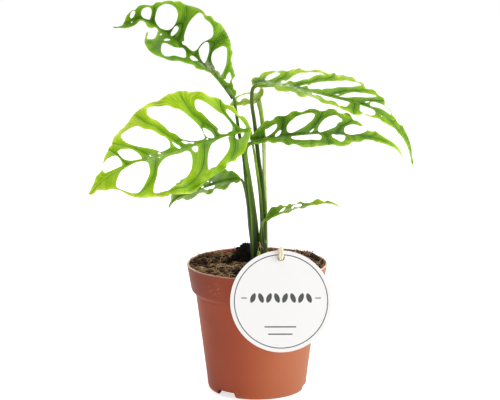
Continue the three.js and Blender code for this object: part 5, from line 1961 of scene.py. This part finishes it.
@dataclass(frozen=True)
class Studio:
    """The camera, the pale floor and the soft light."""

    eye: Point = (-6.0, -1660.0, 503.0)
    tilt: float = 11.53
    lens: float = 143.6
    floor_half: float = 20000.0

    def camera(self) -> None:
        """Sets the camera at the photograph's viewing angle."""
        data = bpy.data.cameras.new("camera")
        data.lens = self.lens
        data.sensor_width = 36.0
        data.clip_end = 20.0
        camera = bpy.data.objects.new("camera", data)
        camera.location = [c * MM for c in self.eye]
        camera.rotation_euler = (math.radians(90 - self.tilt), 0, 0)
        bpy.context.scene.collection.objects.link(camera)
        bpy.context.scene.camera = camera

    def floor(self) -> None:
        """Lays the pale floor."""
        half = self.floor_half
        corners = np.array([(-half, -half, 0), (half, -half, 0), (half, half, 0), (-half, half, 0)])
        floor = plain_object("floor", (corners, [(0, 1, 2, 3)]))
        floor.data.materials.append(Bench("pale_floor").finish(
            (0.8, 0.8, 0.8, 1), 0.8, 0.1, Emission_Color=(1.0, 1.0, 1.0, 1), Emission_Strength=0.7))

    def light(self, name: str, place: Point, aim: Point, size: float, power: float,
              colour: Point = (1, 1, 1)) -> None:
        """Hangs one soft light.

        Args:
            name: The light's name.
            place: Where it hangs, in metres.
            aim: The point that it faces.
            size: Its width and height.
            power: Its power in watts.
            colour: Its linear colour.
        """
        data = bpy.data.lights.new(name, "AREA")
        data.shape, data.size, data.energy, data.color = "SQUARE", size, power, colour
        lamp = bpy.data.objects.new(name, data)
        lamp.location = place
        away = np.array(place) - np.array(aim)
        lamp.rotation_euler = (math.atan2(math.hypot(away[0], away[1]), away[2]), 0,
                               math.atan2(away[0], -away[1]))
        bpy.context.scene.collection.objects.link(lamp)

    def backdrop(self) -> None:
        """Sets the soft light from all sides, and the white wall seen past the floor."""
        world = bpy.data.worlds.new("studio")
        world.use_nodes = True
        wiring = Wiring(world.node_tree)
        glow, wall = wiring.tree.nodes["Background"], wiring.add("ShaderNodeBackground")
        for shade, strength in ((glow, 0.34), (wall, 1.0)):
            wiring.feed(shade.inputs[0], (1, 1, 1, 1))
            wiring.feed(shade.inputs[1], strength)
        seen = wiring.add("ShaderNodeLightPath").outputs["Is Camera Ray"]
        both = wiring.add("ShaderNodeMixShader", {0: seen, 1: glow.outputs[0], 2: wall.outputs[0]})
        wiring.feed(wiring.tree.nodes["World Output"].inputs[0], both.outputs[0])
        bpy.context.scene.world = world

    def build(self) -> None:
        """Sets up the whole studio."""
        self.camera()
        self.floor()
        self.light("key", (1.7, -0.75, 1.15), (0, 0, 0.16), 0.9, 29, (1.0, 0.97, 0.93))
        self.light("rim", (-0.9, 1.4, 0.5), (0, 0, 0.1), 0.7, 9)
        self.light("side", (1.3, -0.1, 0.12), (0, 0, 0.08), 0.5, 4)
        self.light("top", (-0.1, 0.1, 1.8), (0, 0, 0.2), 0.9, 13)
        self.backdrop()
        bpy.context.scene.view_settings.view_transform = "Standard"


def main() -> None:
    """Builds every piece in order and reports each."""
    logging.basicConfig(level=logging.INFO, format="%(message)s")
    Studio().build()
    tag = TagCard()
    pieces = [NurseryPot().build(), *PottingMix().build()]
    pieces += [stem.build() for stem in leafy_stems()]
    pieces += [blade.build() for blade in leaf_blades()]
    pieces += [*tag.build(), TagString(tag).build()]
    for piece in pieces:
        LOG.info("%s: %d faces", piece.name, len(piece.data.polygons))


if __name__ == "__main__":
    main()
